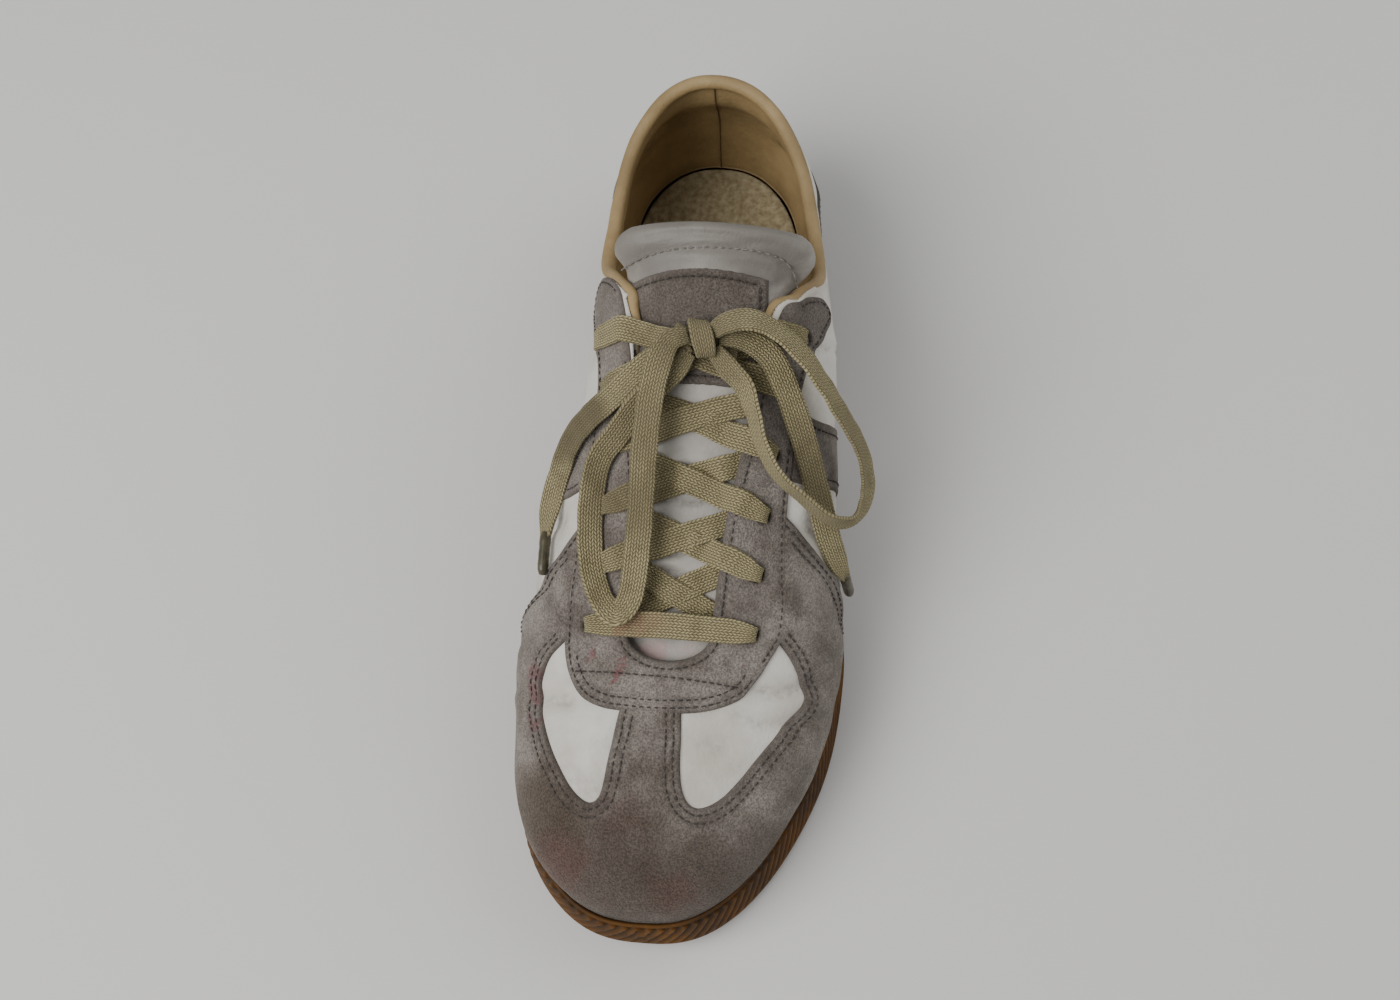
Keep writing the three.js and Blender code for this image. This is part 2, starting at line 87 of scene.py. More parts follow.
def newMaterial(name, finish):
    material = bpy.data.materials.new(name)
    material.use_nodes = True
    tree = material.node_tree
    tree.nodes.clear()
    place = addNode(tree, "ShaderNodeTexCoord").outputs["Object"]
    shader = addNode(tree, "ShaderNodeBsdfPrincipled", inputs=finish)
    addNode(tree, "ShaderNodeOutputMaterial", inputs={"Surface": shader})
    return material, tree, place, shader


blotting = {"wander": 14, "patternMm": 7.143, "core": 0.35}  # how far the edge of a blot strays


# Each blot is its centre in mm, radius in mm, colour and strength
def addBlots(tree, place, colour, blots):
    wander = addNode(tree, "ShaderNodeTexNoise", inputs={
        "Vector": place, "Scale": 1000 / blotting["patternMm"], "Detail": 4})
    shift = addNode(tree, "ShaderNodeVectorMath", {"operation": "MULTIPLY_ADD"},
                    {0: wander.outputs["Color"], 1: [blotting["wander"] * mm] * 3, 2: place})
    for centre, radius, tint, strength in blots:
        middle = [(c + blotting["wander"] / 2) * mm for c in centre]
        away = addNode(tree, "ShaderNodeVectorMath", {"operation": "DISTANCE"}, {0: shift, 1: middle})
        fade = addNode(tree, "ShaderNodeMapRange", {"interpolation_type": "SMOOTHSTEP"}, {
            "Value": away.outputs["Value"], "From Min": radius * mm,
            "From Max": radius * blotting["core"] * mm, "To Min": 0.0, "To Max": strength})
        colour = addNode(tree, "ShaderNodeMix", {"data_type": "RGBA"},
                         {0: fade, 6: colour, 7: linear(tint)}).outputs[2]
    return colour


makeCamera()
print("camera set")


# The last, in tables of station and size: the same ones that the solids are made from
last = {
    "medialHalf": [[-146, 34.5], [-110, 36.5], [-70, 34], [-35, 33.5], [0, 41], [35, 50], [62, 52.7],
                   [90, 49.8], [120, 46.5], [146, 40]],
    "lateralHalf": [[-146, 34.5], [-110, 38], [-70, 40], [-35, 43], [0, 48.5], [30, 53], [50, 55],
                    [80, 53.3], [115, 45.5], [146, 38]],
    "axisY": [[-146, 0], [40, 0], [146, -5]],
    "groundZ": [[-146, 3], [-134, 0.6], [-122, 0], [-95, 0], [-60, 1.6], [-25, 2.6], [8, 1.2], [28, 0],
                [62, 0], [85, 0.8], [110, 2.8], [130, 5.4], [146, 8.5]],
    "lipZ": [[-146, 28], [-110, 26.5], [-60, 23], [0, 21.5], [60, 21], [100, 22.5], [130, 25.5],
             [146, 28]],
    "floorZ": [[-146, 17.5], [-100, 16.5], [-50, 14], [0, 11], [50, 9.5], [90, 10], [120, 12],
               [146, 15.5]],
    "ridgeZ": [[-146, 112], [-100, 113], [-60, 116], [-38, 113], [-13, 101], [20, 82], [56, 65],
               [70, 59.5], [90, 52.5], [110, 47.5], [125, 44.5], [146, 41]],
    "ridgeY": [[-146, 1], [-100, 3], [-38, 5.2], [-13, 4.5], [20, 2.5], [56, 0], [70, -1], [100, -3.5],
               [146, -5]],
    "wideZ": [[-146, 45], [-100, 47], [-60, 62], [-38, 68], [-13, 56], [20, 40], [56, 29], [90, 27],
              [146, 26]],
    "medialBulge": [[-146, 0.3], [-110, 2.3], [-70, 6.8], [-35, 6.3], [0, 3.8], [35, 2.3], [62, 2.1],
                    [90, 1.8], [146, 1.2]],
    "lateralBulge": [[-146, 0.3], [-110, 2.3], [-70, 4.8], [-35, 4.8], [0, 2.8], [35, 2.1], [62, 2],
                     [90, 1.8], [146, 1.2]],
    "sectionPower": [[-146, 2], [-38, 2], [20, 2.2], [56, 2.3], [146, 2.4]],
    "heelLean": [[0, 0], [27, 0.3], [45, -0.6], [58, 0.8], [72, 4.5], [88, 8], [140, 16]],
    "throatHalf": [[-40, 27], [-36, 23.5], [-28, 21.4], [4, 17.4], [22, 14.5], [40, 13.8], [60, 13.6]],
    "collarZ": [[-146, 86], [-130, 83], [-115, 78.5], [-100, 74.5], [-86, 73], [-72, 75.5], [-60, 82],
                [-52, 91.5], [-46, 98], [-40, 102]],
    "holeHalf": [[-30.7, 32.5], [-13.3, 28], [4.1, 25.6], [21.5, 25], [38.9, 25], [56.3, 25.6]],
    "tongueCrown": [[-58.5, 117], [-46, 111], [-38, 108], [-13, 97], [20, 78], [64, 57], [73, 53.8]],
}
heelX, toeX = -146.0, 146.0
soleWall, gap, upperWall = 3.5, 0.3, 2.4
heelRound, heelPower = 40, 2.3
toeRound, toePower = 69, 2.7
noseRound, nosePower = 46, 3  # how the toe box falls to its tip
throatEnd, throatRound, stayTop = 67.3, 9.0, -40.0
holeFront, holePitch = 56.3, 17.4
holeX = [holeFront - holePitch * k for k in range(6)]


def smooth(name, x):
    xs, ys = np.array(last[name] if isinstance(name, str) else name, float).T
    x = np.clip(np.asarray(x, float), xs[0], xs[-1])
    slope = np.empty(len(xs))
    slope[1:-1] = (ys[2:] - ys[:-2]) / (xs[2:] - xs[:-2])
    slope[0] = (ys[1] - ys[0]) / (xs[1] - xs[0])
    slope[-1] = (ys[-1] - ys[-2]) / (xs[-1] - xs[-2])
    i = np.clip(np.searchsorted(xs, x) - 1, 0, len(xs) - 2)
    h = xs[i + 1] - xs[i]
    t = (x - xs[i]) / h
    first = (ys[i] * (1 + 2 * t) + slope[i] * h * t) * (1 - t) ** 2
    return first + (ys[i + 1] * (3 - 2 * t) - slope[i + 1] * h * (1 - t)) * t * t


def roundOff(distance, length, power):
    t = np.clip(1 - distance / length, 0, 1)
    return np.maximum(0, 1 - t ** power) ** (1 / power)


def endRound(x):
    return roundOff(x - heelX, heelRound, heelPower) * roundOff(toeX - x, toeRound, toePower)


def sideValue(lateral, medial, x, side):
    return np.where(side > 0, smooth(lateral, x), smooth(medial, x))


def soleEdge(x, side, inset, z):
    u = (x - heelX) / (toeX - heelX)
    half = sideValue("lateralHalf", "medialHalf", x, side)
    px = heelX + inset + u * (toeX - heelX - 2 * inset)
    py = smooth("axisY", x) + side * (half - inset) * endRound(x)
    return np.stack(np.broadcast_arrays(px, py, z), -1)


def centreY(x, z):
    lip = smooth("lipZ", x)
    drift = np.clip((z - lip) / (smooth("ridgeZ", x) - lip), 0, 1)
    return smooth("axisY", x) + (smooth("ridgeY", x) - smooth("axisY", x)) * drift


def lastPoint(x, rise, side, inset=0.0):
    base = smooth("floorZ", x) + gap
    noseFall = roundOff(toeX - x, noseRound, nosePower)
    top = base + (smooth("ridgeZ", x) - inset - base) * noseFall
    wide = base + (smooth("wideZ", x) - base) * noseFall
    z = base + (top - base) * rise
    lip = smooth("lipZ", x)
    k = np.clip((z - lip) / np.maximum(8, smooth("wideZ", x) - lip), 0, 1)
    swell = 1 - (1 - k) ** 2
    inward = soleWall + gap + inset
    bulges = smooth("lateralBulge", x), smooth("medialBulge", x)
    d = inward - swell * np.where(side > 0, *bulges)
    dEnd = inward - swell * (bulges[0] + bulges[1]) / 2
    u = (x - heelX) / (toeX - heelX)
    fade = np.maximum(0, 1 - u * 2.4)
    px = heelX + dEnd + u * (toeX - heelX - 2 * dEnd) + smooth("heelLean", z) * fade ** 2
    p = smooth("sectionPower", x)
    s = np.maximum(0, (z - wide) / np.maximum(top - wide, 1e-6))
    narrow = np.maximum(0, 1 - s ** p) ** (1 / p)
    half = sideValue("lateralHalf", "medialHalf", x, side)
    py = centreY(x, z) + side * (half - d) * endRound(x) * narrow
    return np.stack(np.broadcast_arrays(px, py, z), -1)


def riseAtHalf(x, side, wanted, inset):
    low, high = np.zeros_like(x), np.ones_like(x)
    for _ in range(30):
        middle = (low + high) / 2
        p = lastPoint(x, middle, side, inset)
        wide = np.abs(p[..., 1] - centreY(x, p[..., 2])) > wanted
        low, high = np.where(wide, middle, low), np.where(wide, high, middle)
    return (low + high) / 2


# The skin of the last is unrolled: station x runs along the shoe and girth g runs down from the
# ridge, with minus on the medial side. Stations lie closer towards both ends.
evenEnd = 100


def stationList():
    turnIn = toeX - evenEnd
    heel = np.sin(np.linspace(-math.pi / 2, 0, 70)) * turnIn - evenEnd
    middle = np.linspace(-evenEnd, evenEnd, 170)[1:-1]
    toe = evenEnd + turnIn * np.sin(np.linspace(0, math.pi / 2, 80))
    return np.concatenate([heel, middle, toe])


def runLength(line):
    return np.concatenate([[0], np.cumsum(np.linalg.norm(np.diff(line, axis=0), axis=1))])


stations = stationList()
girthMax = 150
batch = 4000  # points handled at a time, to save memory
girths = np.arange(-girthMax, girthMax + 1.0)


def makeSkin():
    rises = np.sin(np.linspace(math.pi / 2, 0, 160))
    wanted = np.arange(0, girthMax + 1.0)
    skin = np.empty((len(stations), len(girths), 3))
    for i, x in enumerate(stations):
        for side in (-1, 1):
            line = lastPoint(np.full(len(rises), x), rises, side)
            run = runLength(line)
            for axis in range(3):
                skin[i, girthMax::side, axis] = np.interp(wanted, run, line[:, axis])
    return skin


def skinNormals(skin):
    along = np.gradient(skin, axis=0)
    over = np.gradient(skin, axis=1)
    normal = np.cross(along, over)
    length = np.linalg.norm(normal, axis=2, keepdims=True)
    normal = normal / np.maximum(length, 1e-12)
    bad = length[..., 0] < 1e-9
    for i in range(1, len(stations)):
        normal[i][bad[i]] = normal[i - 1][bad[i]]
    for j in range(1, girthMax + 1):
        for k, step in ((girthMax + j, -1), (girthMax - j, 1)):
            hidden = bad[:, k]
            normal[hidden, k] = normal[hidden, k + step]
    return normal


skin = makeSkin()
flatNormals = skinNormals(skin)


def nearLine(points, line):
    a, b = line[:-1], line[1:]
    step = b - a
    size = np.maximum((step ** 2).sum(1), 1e-12)
    best = np.empty(len(points))
    for k in range(0, len(points), batch):
        p = points[k:k + batch, None]
        t = np.clip(((p - a) * step).sum(2) / size, 0, 1)
        best[k:k + batch] = np.sqrt((((p - a) - t[..., None] * step) ** 2).sum(2).min(1))
    return best


# Creases: line in (x, g), depth and half width; each trough has a soft ridge on both sides
creases = [
    ([(64, 58), (66, 50), (70, 44), (73, 36), (72, 28)], 0.9, 2.2),
    ([(76, 60), (79, 50), (82, 41), (83, 32), (81, 24)], 0.6, 1.8),
    ([(58, 66), (56, 56), (55, 46), (57, 38)], 0.9, 2.6),
    ([(45, 72), (42, 60), (41, 50), (43, 42)], 1.1, 3.0),
    ([(70, -62), (73, -54), (76, -46), (79, -38), (80, -30)], 0.7, 2.0),
    ([(56, -64), (56, -56), (58, -47), (60, -40)], 0.9, 2.4),
    ([(44, -70), (42, -60), (43, -50), (46, -42)], 1.1, 3.0),
    ([(92, 20), (90, 8), (91, -6), (94, -16)], 0.5, 3.2),
    ([(28, 78), (22, 66), (19, 54), (21, 44)], 1.0, 3.2),
    ([(26, -76), (22, -66), (20, -56), (22, -46)], 1.0, 3.2),
    ([(-30, 104), (-34, 92), (-36, 80), (-34, 68)], 1.2, 4.0),
    ([(-44, 112), (-50, 100), (-52, 88), (-50, 78)], 1.0, 3.6),
    ([(-28, -102), (-33, -92), (-35, -80), (-33, -68)], 1.2, 4.0),
    ([(-46, -110), (-51, -100), (-53, -90), (-51, -80)], 1.0, 3.6),
    ([(-118, 74), (-126, 66), (-134, 64)], 0.8, 3.5),
    ([(-116, -76), (-126, -68), (-134, -66)], 0.8, 3.5),
    ([(104, 34), (108, 20), (109, 4), (107, -14), (103, -30)], 0.35, 5.0),
    ([(-29, 39), (-34, 52), (-39, 66), (-43, 84), (-45, 104)], 0.7, 1.1),  # quarter seams
    ([(-30, -42), (-36, -56), (-41, -72), (-44, -90), (-45, -106)], 0.7, 1.1),
]


softness = {"deep": 0.55, "wide": 26, "fine": 9, "finePart": 0.4}  # worn leather never lies even
creaseRidge = {"high": 0.55, "away": 2.1, "spread": 1.1}  # beside the trough, in half widths


def smoothLine(points, step):
    p = np.array(points, float)
    q = np.concatenate([2 * p[:1] - p[1:2], p, 2 * p[-1:] - p[-2:-1]])
    out = []
    for k in range(1, len(q) - 2):
        a, b, c, d = q[k - 1:k + 3]
        count = max(1, int(round(np.linalg.norm(c - b) / step)))
        t = (np.arange(count) / count)[:, None]
        out.append(0.5 * (2 * b + (c - a) * t + (2 * a - 5 * b + 4 * c - d) * t ** 2
                          + (3 * b - a - 3 * c + d) * t ** 3))
    out.append(p[-1:])
    return np.concatenate(out)


def bumpSkin():
    x = np.repeat(stations, len(girths))
    g = np.tile(girths, len(stations))
    spots = np.stack([x, g], 1)
    rise = np.zeros(len(spots))
    for line, depth, width in creases:
        d = nearLine(spots, smoothLine(line, 3.0)) / width
        ridge = np.exp(-(np.abs(d) - creaseRidge["away"]) ** 2 / creaseRidge["spread"])
        rise += depth * (creaseRidge["high"] * ridge - np.exp(-d ** 2))
    flat = [Vector(p) for p in skin.reshape(-1, 3)]
    soft = np.array([noise.noise(p / softness["wide"])
                     + softness["finePart"] * noise.noise(p / softness["fine"]) for p in flat])
    return (rise + softness["deep"] * soft).reshape(skin.shape[:2])


wear = bumpSkin()
skin = skin + flatNormals * wear[..., None]
normals = skinNormals(skin)


def sampled(table, x, g):
    i = np.interp(x, stations, np.arange(len(stations)))
    j = np.clip(np.asarray(g, float) + girthMax, 0, 2 * girthMax)
    i0 = np.clip(i.astype(int), 0, len(stations) - 2)
    j0 = np.clip(j.astype(int), 0, 2 * girthMax - 1)
    u, v = (i - i0)[..., None], (j - j0)[..., None]
    return (table[i0, j0] * (1 - u) * (1 - v) + table[i0 + 1, j0] * u * (1 - v)
            + table[i0, j0 + 1] * (1 - u) * v + table[i0 + 1, j0 + 1] * u * v)


def normalAt(x, g):
    n = sampled(normals, np.asarray(x, float), g)
    return n / np.linalg.norm(n, axis=-1, keepdims=True)


def onSkin(x, g, lift):
    x = np.asarray(x, float)
    return sampled(skin, x, g) + normalAt(x, g) * np.asarray(lift)[..., None]


# Girth at which each station reaches a height or a distance from the centre line
def girthAt(x, side, measure, wanted):
    x = np.atleast_1d(np.asarray(x, float))
    j = np.arange(0, girthMax + 1.0)
    out = np.empty(len(x))
    for k, (one, want) in enumerate(zip(x, np.broadcast_to(wanted, x.shape))):
        p = sampled(skin, np.full(len(j), one), side * j)
        value = np.maximum.accumulate(measure(one, p))
        out[k] = j[-1] if value[-1] < want else np.interp(want, value, j)
    return out


def girthAtHeight(x, side, z):
    return girthAt(x, side, lambda one, p: -p[:, 2], -np.asarray(z, float))


def girthAtHalf(x, side, half):
    return girthAt(x, side, lambda one, p: np.abs(p[:, 1] - centreY(one, p[:, 2])), half)


def throatHalfAt(x):
    t = np.clip((x - throatEnd + throatRound) / throatRound, 0, 1)
    return smooth("throatHalf", x) * np.sqrt(np.maximum(0, 1 - t ** 2))


# Flat length follows the ridge over the toe and the lip of the sole round the heel
toeTurn, heelTurn = 60, -70


def lengthTable():
    ridge = skin[:, girthMax]
    lip = sampled(skin, stations, girthAtHeight(stations, 1, smooth("lipZ", stations)))
    dx = np.diff(stations)
    step = np.where(stations[1:] > toeTurn, np.linalg.norm(np.diff(ridge, axis=0), axis=1), dx)
    step = np.where(stations[1:] < heelTurn, np.linalg.norm(np.diff(lip, axis=0), axis=1), step)
    return np.concatenate([[0], np.cumsum(np.maximum(step, dx))])


lengths = lengthTable()


def toFlat(points):
    p = np.array(points, float)
    return np.stack([np.interp(p[:, 0], stations, lengths), p[:, 1]], 1)


def fromFlat(points):
    return np.interp(points[:, 0], lengths, stations), points[:, 1]


print("skin of the last made")


def makeObject(name, points, faces, material, nodes=()):
    mesh = bpy.data.meshes.new(name)
    mesh.from_pydata((np.asarray(points) * mm).tolist(), [], [list(map(int, f)) for f in faces])
    mesh.update()
    mesh.polygons.foreach_set("use_smooth", [True] * len(mesh.polygons))
    mesh.materials.append(material)
    made = bpy.data.objects.new(name, mesh)
    bpy.context.scene.collection.objects.link(made)
    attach(made, "root")
    if nodes:
        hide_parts(*nodes)
    return made


def setAttribute(made, name, values):
    layer = made.data.attributes.new(name, "FLOAT", "POINT")
    layer.data.foreach_set("value", np.asarray(values, np.float32))


# Faces of a skin over rings of points, with or without its two ends
def ringFaces(rings, sides, base=0, capped=True):
    faces = []
    for k in range(rings - 1):
        for j in range(sides):
            a, b = base + k * sides + j, base + k * sides + (j + 1) % sides
            faces.append((a, b, b + sides, a + sides))
    if capped:
        faces.append(tuple(base + j for j in range(sides))[::-1])
        faces.append(tuple(base + (rings - 1) * sides + j for j in range(sides)))
    return faces


# Faces of a sheet of points, looking one way or the other
def gridFaces(rows, cols, base=0, turned=False):
    faces = []
    for r in range(rows - 1):
        for c in range(cols - 1):
            a = base + r * cols + c
            b = a + cols
            faces.append((a, a + 1, b + 1, b) if turned else (a, b, b + 1, a + 1))
    return faces


def inside(points, loop):
    a, b = loop, np.roll(loop, -1, 0)
    out = np.zeros(len(points), bool)
    for k in range(0, len(points), batch):
        p = points[k:k + batch, None]
        cross = (a[:, 1] > p[..., 1]) != (b[:, 1] > p[..., 1])
        dy = np.where(b[:, 1] == a[:, 1], 1e-9, b[:, 1] - a[:, 1])
        hit = cross & (p[..., 0] < (b[:, 0] - a[:, 0]) * (p[..., 1] - a[:, 1]) / dy + a[:, 0])
        out[k:k + batch] = hit.sum(1) % 2 == 1
    return out


loopStep = 1.3


# A cut edge from its runs: two points give a straight run, more give a curve
def makeLoop(runs):
    return np.concatenate([smoothLine(toFlat(run), loopStep)[:-1] if len(run) > 2
                           else evenLine(toFlat(run), loopStep) for run in runs])


def evenLine(pair, step):
    count = max(1, int(np.linalg.norm(pair[1] - pair[0]) / step))
    t = (np.arange(count) / count)[:, None]
    return pair[0] * (1 - t) + pair[1] * t


def closedLine(loop):
    return np.concatenate([loop, loop[:1]])


def leftOf(line, reach):
    ahead = np.roll(line, -reach, 0) - np.roll(line, reach, 0)
    size = np.maximum(np.linalg.norm(ahead, axis=1), 1e-9)
    return np.stack([-ahead[:, 1], ahead[:, 0]], 1) / size[:, None]


panelMesh = {
    "pitch": 1.5, "jitter": 0.12, "rings": (0.35, 0.95), "clear": 1.2, "close": 0.3,
    "edgeRound": 0.9, "grooveDeep": 0.42, "grooveHalf": 0.6,  # raw edges, and the pull of a seam
}


def panelPoints(loop, holes, pitch):
    rings = []
    for line in (loop, *holes):
        side = leftOf(line, 1)
        for away in panelMesh["rings"]:
            rings += [line + side * away, line - side * away]
    low, high = loop.min(0), loop.max(0)
    cols = np.arange(low[0], high[0], pitch)
    rows = np.arange(low[1], high[1], pitch * 0.87)  # as in a triangular grid
    grid = np.array([(s + (0.5 * pitch if k % 2 else 0), g) for k, g in enumerate(rows) for s in cols])
    random.seed(7)
    most = panelMesh["jitter"]
    grid = grid + np.array([[random.uniform(-most, most) * pitch for _ in (0, 1)] for _ in grid])
    grid = grid[inside(grid, loop)]
    grid = grid[nearLine(grid, closedLine(loop)) > panelMesh["clear"]]
    rings = np.concatenate(rings)
    rings = rings[inside(rings, loop)]
    rings = rings[nearLine(rings, closedLine(loop)) > panelMesh["close"]]
    free = np.concatenate([rings, grid])
    for hole in holes:
        free = free[~inside(free, hole)]
        free = free[nearLine(free, closedLine(hole)) > panelMesh["close"]]
    return free


# A panel cut from sheet and laid on the skin. Loop, holes and seams are in flat coordinates.
def makePanel(name, loop, material, lift, edgeDeep, pitch=panelMesh["pitch"], holes=(),
              seams=(), nodes=(), flip=False, extra=None):
    points, edges = [], []
    for line in (loop, *holes):
        start = len(points)
        points += line.tolist()
        edges += [(start + k, start + (k + 1) % len(line)) for k in range(len(line))]
    points += panelPoints(loop, holes, pitch).tolist()
    verts, _, faces, *_ = delaunay_2d_cdt([Vector(p) for p in points], edges, [], 0, 1e-5)
    verts = np.array([tuple(v) for v in verts])
    faces = np.array(faces)
    middle = verts[faces].mean(1)
    keep = inside(middle, loop)
    edge = nearLine(verts, closedLine(loop))
    for hole in holes:
        keep &= ~inside(middle, hole)
        edge = np.minimum(edge, nearLine(verts, closedLine(hole)))
    faces = faces[keep]
    x, g = fromFlat(verts)
    height = np.full(len(verts), float(lift))
    if lift > 0:
        height = lift * np.sqrt(1 - (1 - np.clip(edge / panelMesh["edgeRound"], 0, 1)) ** 2)
    seamNear = np.full(len(verts), 9.0)
    for seam in seams:
        away = nearLine(verts, seam)
        seamNear = np.minimum(seamNear, away)
        groove = panelMesh["grooveDeep"] * np.exp(-(away / panelMesh["grooveHalf"]) ** 2)
        height = height - groove * np.clip(edge, 0, 1)
    if extra is not None:
        height = height + extra(x, g)
    top = onSkin(x, g, height)
    pairs = dict.fromkeys((f[k], f[(k + 1) % 3]) for f in faces for k in range(3))
    rim = [(a, b) for a, b in pairs if (b, a) not in pairs]
    used = sorted({a for pair in rim for a in pair})
    below = {v: len(verts) + k for k, v in enumerate(used)}
    deep = onSkin(x[used], g[used], height[used] - edgeDeep)
    allFaces = [tuple(f) for f in faces] + [(b, a, below[a], below[b]) for a, b in rim]
    if flip:
        allFaces = [f[::-1] for f in allFaces]
    made = makeObject(name, np.concatenate([top, deep]), allFaces, material, nodes)
    bumps = sampled(wear[..., None], x, g)[:, 0]
    setAttribute(made, "edge", np.concatenate([np.exp(-edge / 1.1), np.ones(len(used))]))
    # the seam value is painted shade along the seams and darkens the suede there
    for key, values in (("seam", np.exp(-(seamNear / 0.7) ** 2)), ("crease", np.clip(-bumps, 0, 1))):
        setAttribute(made, key, np.concatenate([values, np.zeros(len(used))]))


# Lines parallel to those stretches of a loop that pass the test, on its inner side
def insetLine(loop, away, keepTest):
    area = (loop[:, 0] * np.roll(loop[:, 1], -1) - np.roll(loop[:, 0], -1) * loop[:, 1]).sum()
    line = loop + leftOf(loop, 2) * away * (1 if area > 0 else -1)
    good = (nearLine(line, closedLine(loop)) > away * 0.9) & keepTest(*fromFlat(loop))
    runs, now = [], []
    for point, fine in zip(line, good):
        if fine and (not now or np.linalg.norm(point - now[-1]) < 8):
            now.append(point)
        elif now:
            runs.append(now)
            now = [point] if fine else []
    if now:
        if runs and good[0] and np.linalg.norm(now[-1] - runs[0][0]) < 8:
            runs[0] = now + runs[0]
        else:
            runs.append(now)
    return [np.array(run) for run in runs if len(run) > 4]


stitching = {"pitch": 2.4, "length": 1.95, "thick": 0.25, "arch": 0.42, "sunk": 0.24}  # 11 to the inch


# Each stitch is a short bowed length of thread along its line
def sew(name, lines, place, thread="thread"):
    points, faces = [], []
    rings, sides = 5, 6
    for line in lines:
        run = runLength(line)
        for start in np.arange(0.5, run[-1] - stitching["length"], stitching["pitch"]):
            t = start + np.linspace(0, 1, rings) * stitching["length"]
            flat = np.stack([np.interp(t, run, line[:, k]) for k in (0, 1)], 1)
            centre, up = place(flat)
            bow = np.sin(np.linspace(0, math.pi, rings)) * stitching["arch"] - stitching["sunk"]
            centre = centre + up * bow[:, None]
            ahead = centre[-1] - centre[0]
            across = np.cross(ahead / np.linalg.norm(ahead), up[2])
            faces += ringFaces(rings, sides, len(points))
            for k in range(rings):
                fat = stitching["thick"] * (0.45 if k in (0, rings - 1) else 1)
                for turn in (j * 2 * math.pi / sides for j in range(sides)):
                    points.append(centre[k] + (across * math.cos(turn) + up[2] * math.sin(turn)) * fat)
    makeObject(name, points, faces, skins[thread])


def skinPlace(lift):
    def place(flat):
        x, g = fromFlat(flat)
        return onSkin(x, g, lift), normalAt(x, g)
    return place


# Split suede with a brushed nap: matt, warm grey, blotched where it has been rubbed and dirtied, with
# patches of painted shade among the blots
# the raw colour darkens cut edges, and along the seams it stands for painted shade
suede = {"light": "#938a82", "dark": "#6c635b", "raw": "#4e463f", "sheen": "#cfc6bd",
         "blotchMm": 13, "napMm": 0.66}  # real nap is about 0.2 mm, drawn coarser so that it shows


def suedeMaterial(name, blots):
    material, tree, place, shader = newMaterial(name, {
        "Roughness": 0.95, "Specular IOR Level": 0.18, "Sheen Weight": 0.35, "Sheen Roughness": 0.45,
        "Sheen Tint": linear(suede["sheen"])})
    blotch = addNode(tree, "ShaderNodeTexNoise", inputs={
        "Vector": place, "Scale": 1000 / suede["blotchMm"], "Detail": 6, "Roughness": 0.65})
    nap = addNode(tree, "ShaderNodeTexNoise", inputs={
        "Vector": place, "Scale": 1000 / suede["napMm"], "Detail": 3, "Roughness": 0.7})
    spread = addNode(tree, "ShaderNodeMapRange", inputs={
        "Value": blotch, "From Min": 0.36, "From Max": 0.64})
    colour = addNode(tree, "ShaderNodeMix", {"data_type": "RGBA"}, {
        0: spread, 6: linear(suede["dark"]), 7: linear(suede["light"])}).outputs[2]
    colour = addBlots(tree, place, colour, blots)
    fleck = addNode(tree, "ShaderNodeMapRange", inputs={
        "Value": nap, "From Min": 0.39, "From Max": 0.61, "To Min": 0.66, "To Max": 1.34})
    shade = addNode(tree, "ShaderNodeVectorMath", {"operation": "SCALE"},
                    {0: colour, "Scale": fleck})
    # cut edges show the darker raw hide, and the same dark along the seams is painted shade in the
    # stitch grooves and needle holes
    edge = addNode(tree, "ShaderNodeAttribute", {"attribute_name": "edge"})
    seam = addNode(tree, "ShaderNodeAttribute", {"attribute_name": "seam"})
    edgePart = addNode(tree, "ShaderNodeMath", {"operation": "MULTIPLY"},
                       {0: edge.outputs["Fac"], 1: 0.75})
    seamShade = addNode(tree, "ShaderNodeMath", {"operation": "MULTIPLY"},
                       {0: seam.outputs["Fac"], 1: 0.5})
    both = addNode(tree, "ShaderNodeMath", {"operation": "MAXIMUM"}, {0: edgePart, 1: seamShade})
    colour = addNode(tree, "ShaderNodeMix", {"data_type": "RGBA"}, {
        0: both, 6: shade, 7: linear(suede["raw"])}).outputs[2]
    tree.links.new(colour, shader.inputs["Base Color"])
    height = addNode(tree, "ShaderNodeBump", inputs={
        "Height": nap, "Strength": 1.0, "Distance": 0.0010})
    tree.links.new(height.outputs[0], shader.inputs["Normal"])
    return material


# Corrected-grain leather, white finish: satin film over a fine pore grain, grey in its creases
whiteLeather = {"clean": "#d6d1c7", "worn": "#bfb8ac", "crease": "#8d8780", "grainMm": 0.8,
                "roughness": 0.46}
# Soft garment leather of the tongue: the same white finish, painted darker as shade on the tongue, with
# some grime from handling
shadedTongueLeather = {"clean": "#b6b0a6", "worn": "#98928a", "crease": "#70695f", "grainMm": 0.8,
                 "roughness": 0.5}
# Vegetable-tanned lining leather without a finish: tan, matt, with a more open grain
tanLeather = {"clean": "#a58c61", "worn": "#8b744d", "crease": "#5d4a2f", "grainMm": 1.1,
              "roughness": 0.6}
leatherMm = {"cloud": 22.22, "crackle": 2.381, "wrinkle": 3.846}  # spacing of dirt, cracks and wrinkles


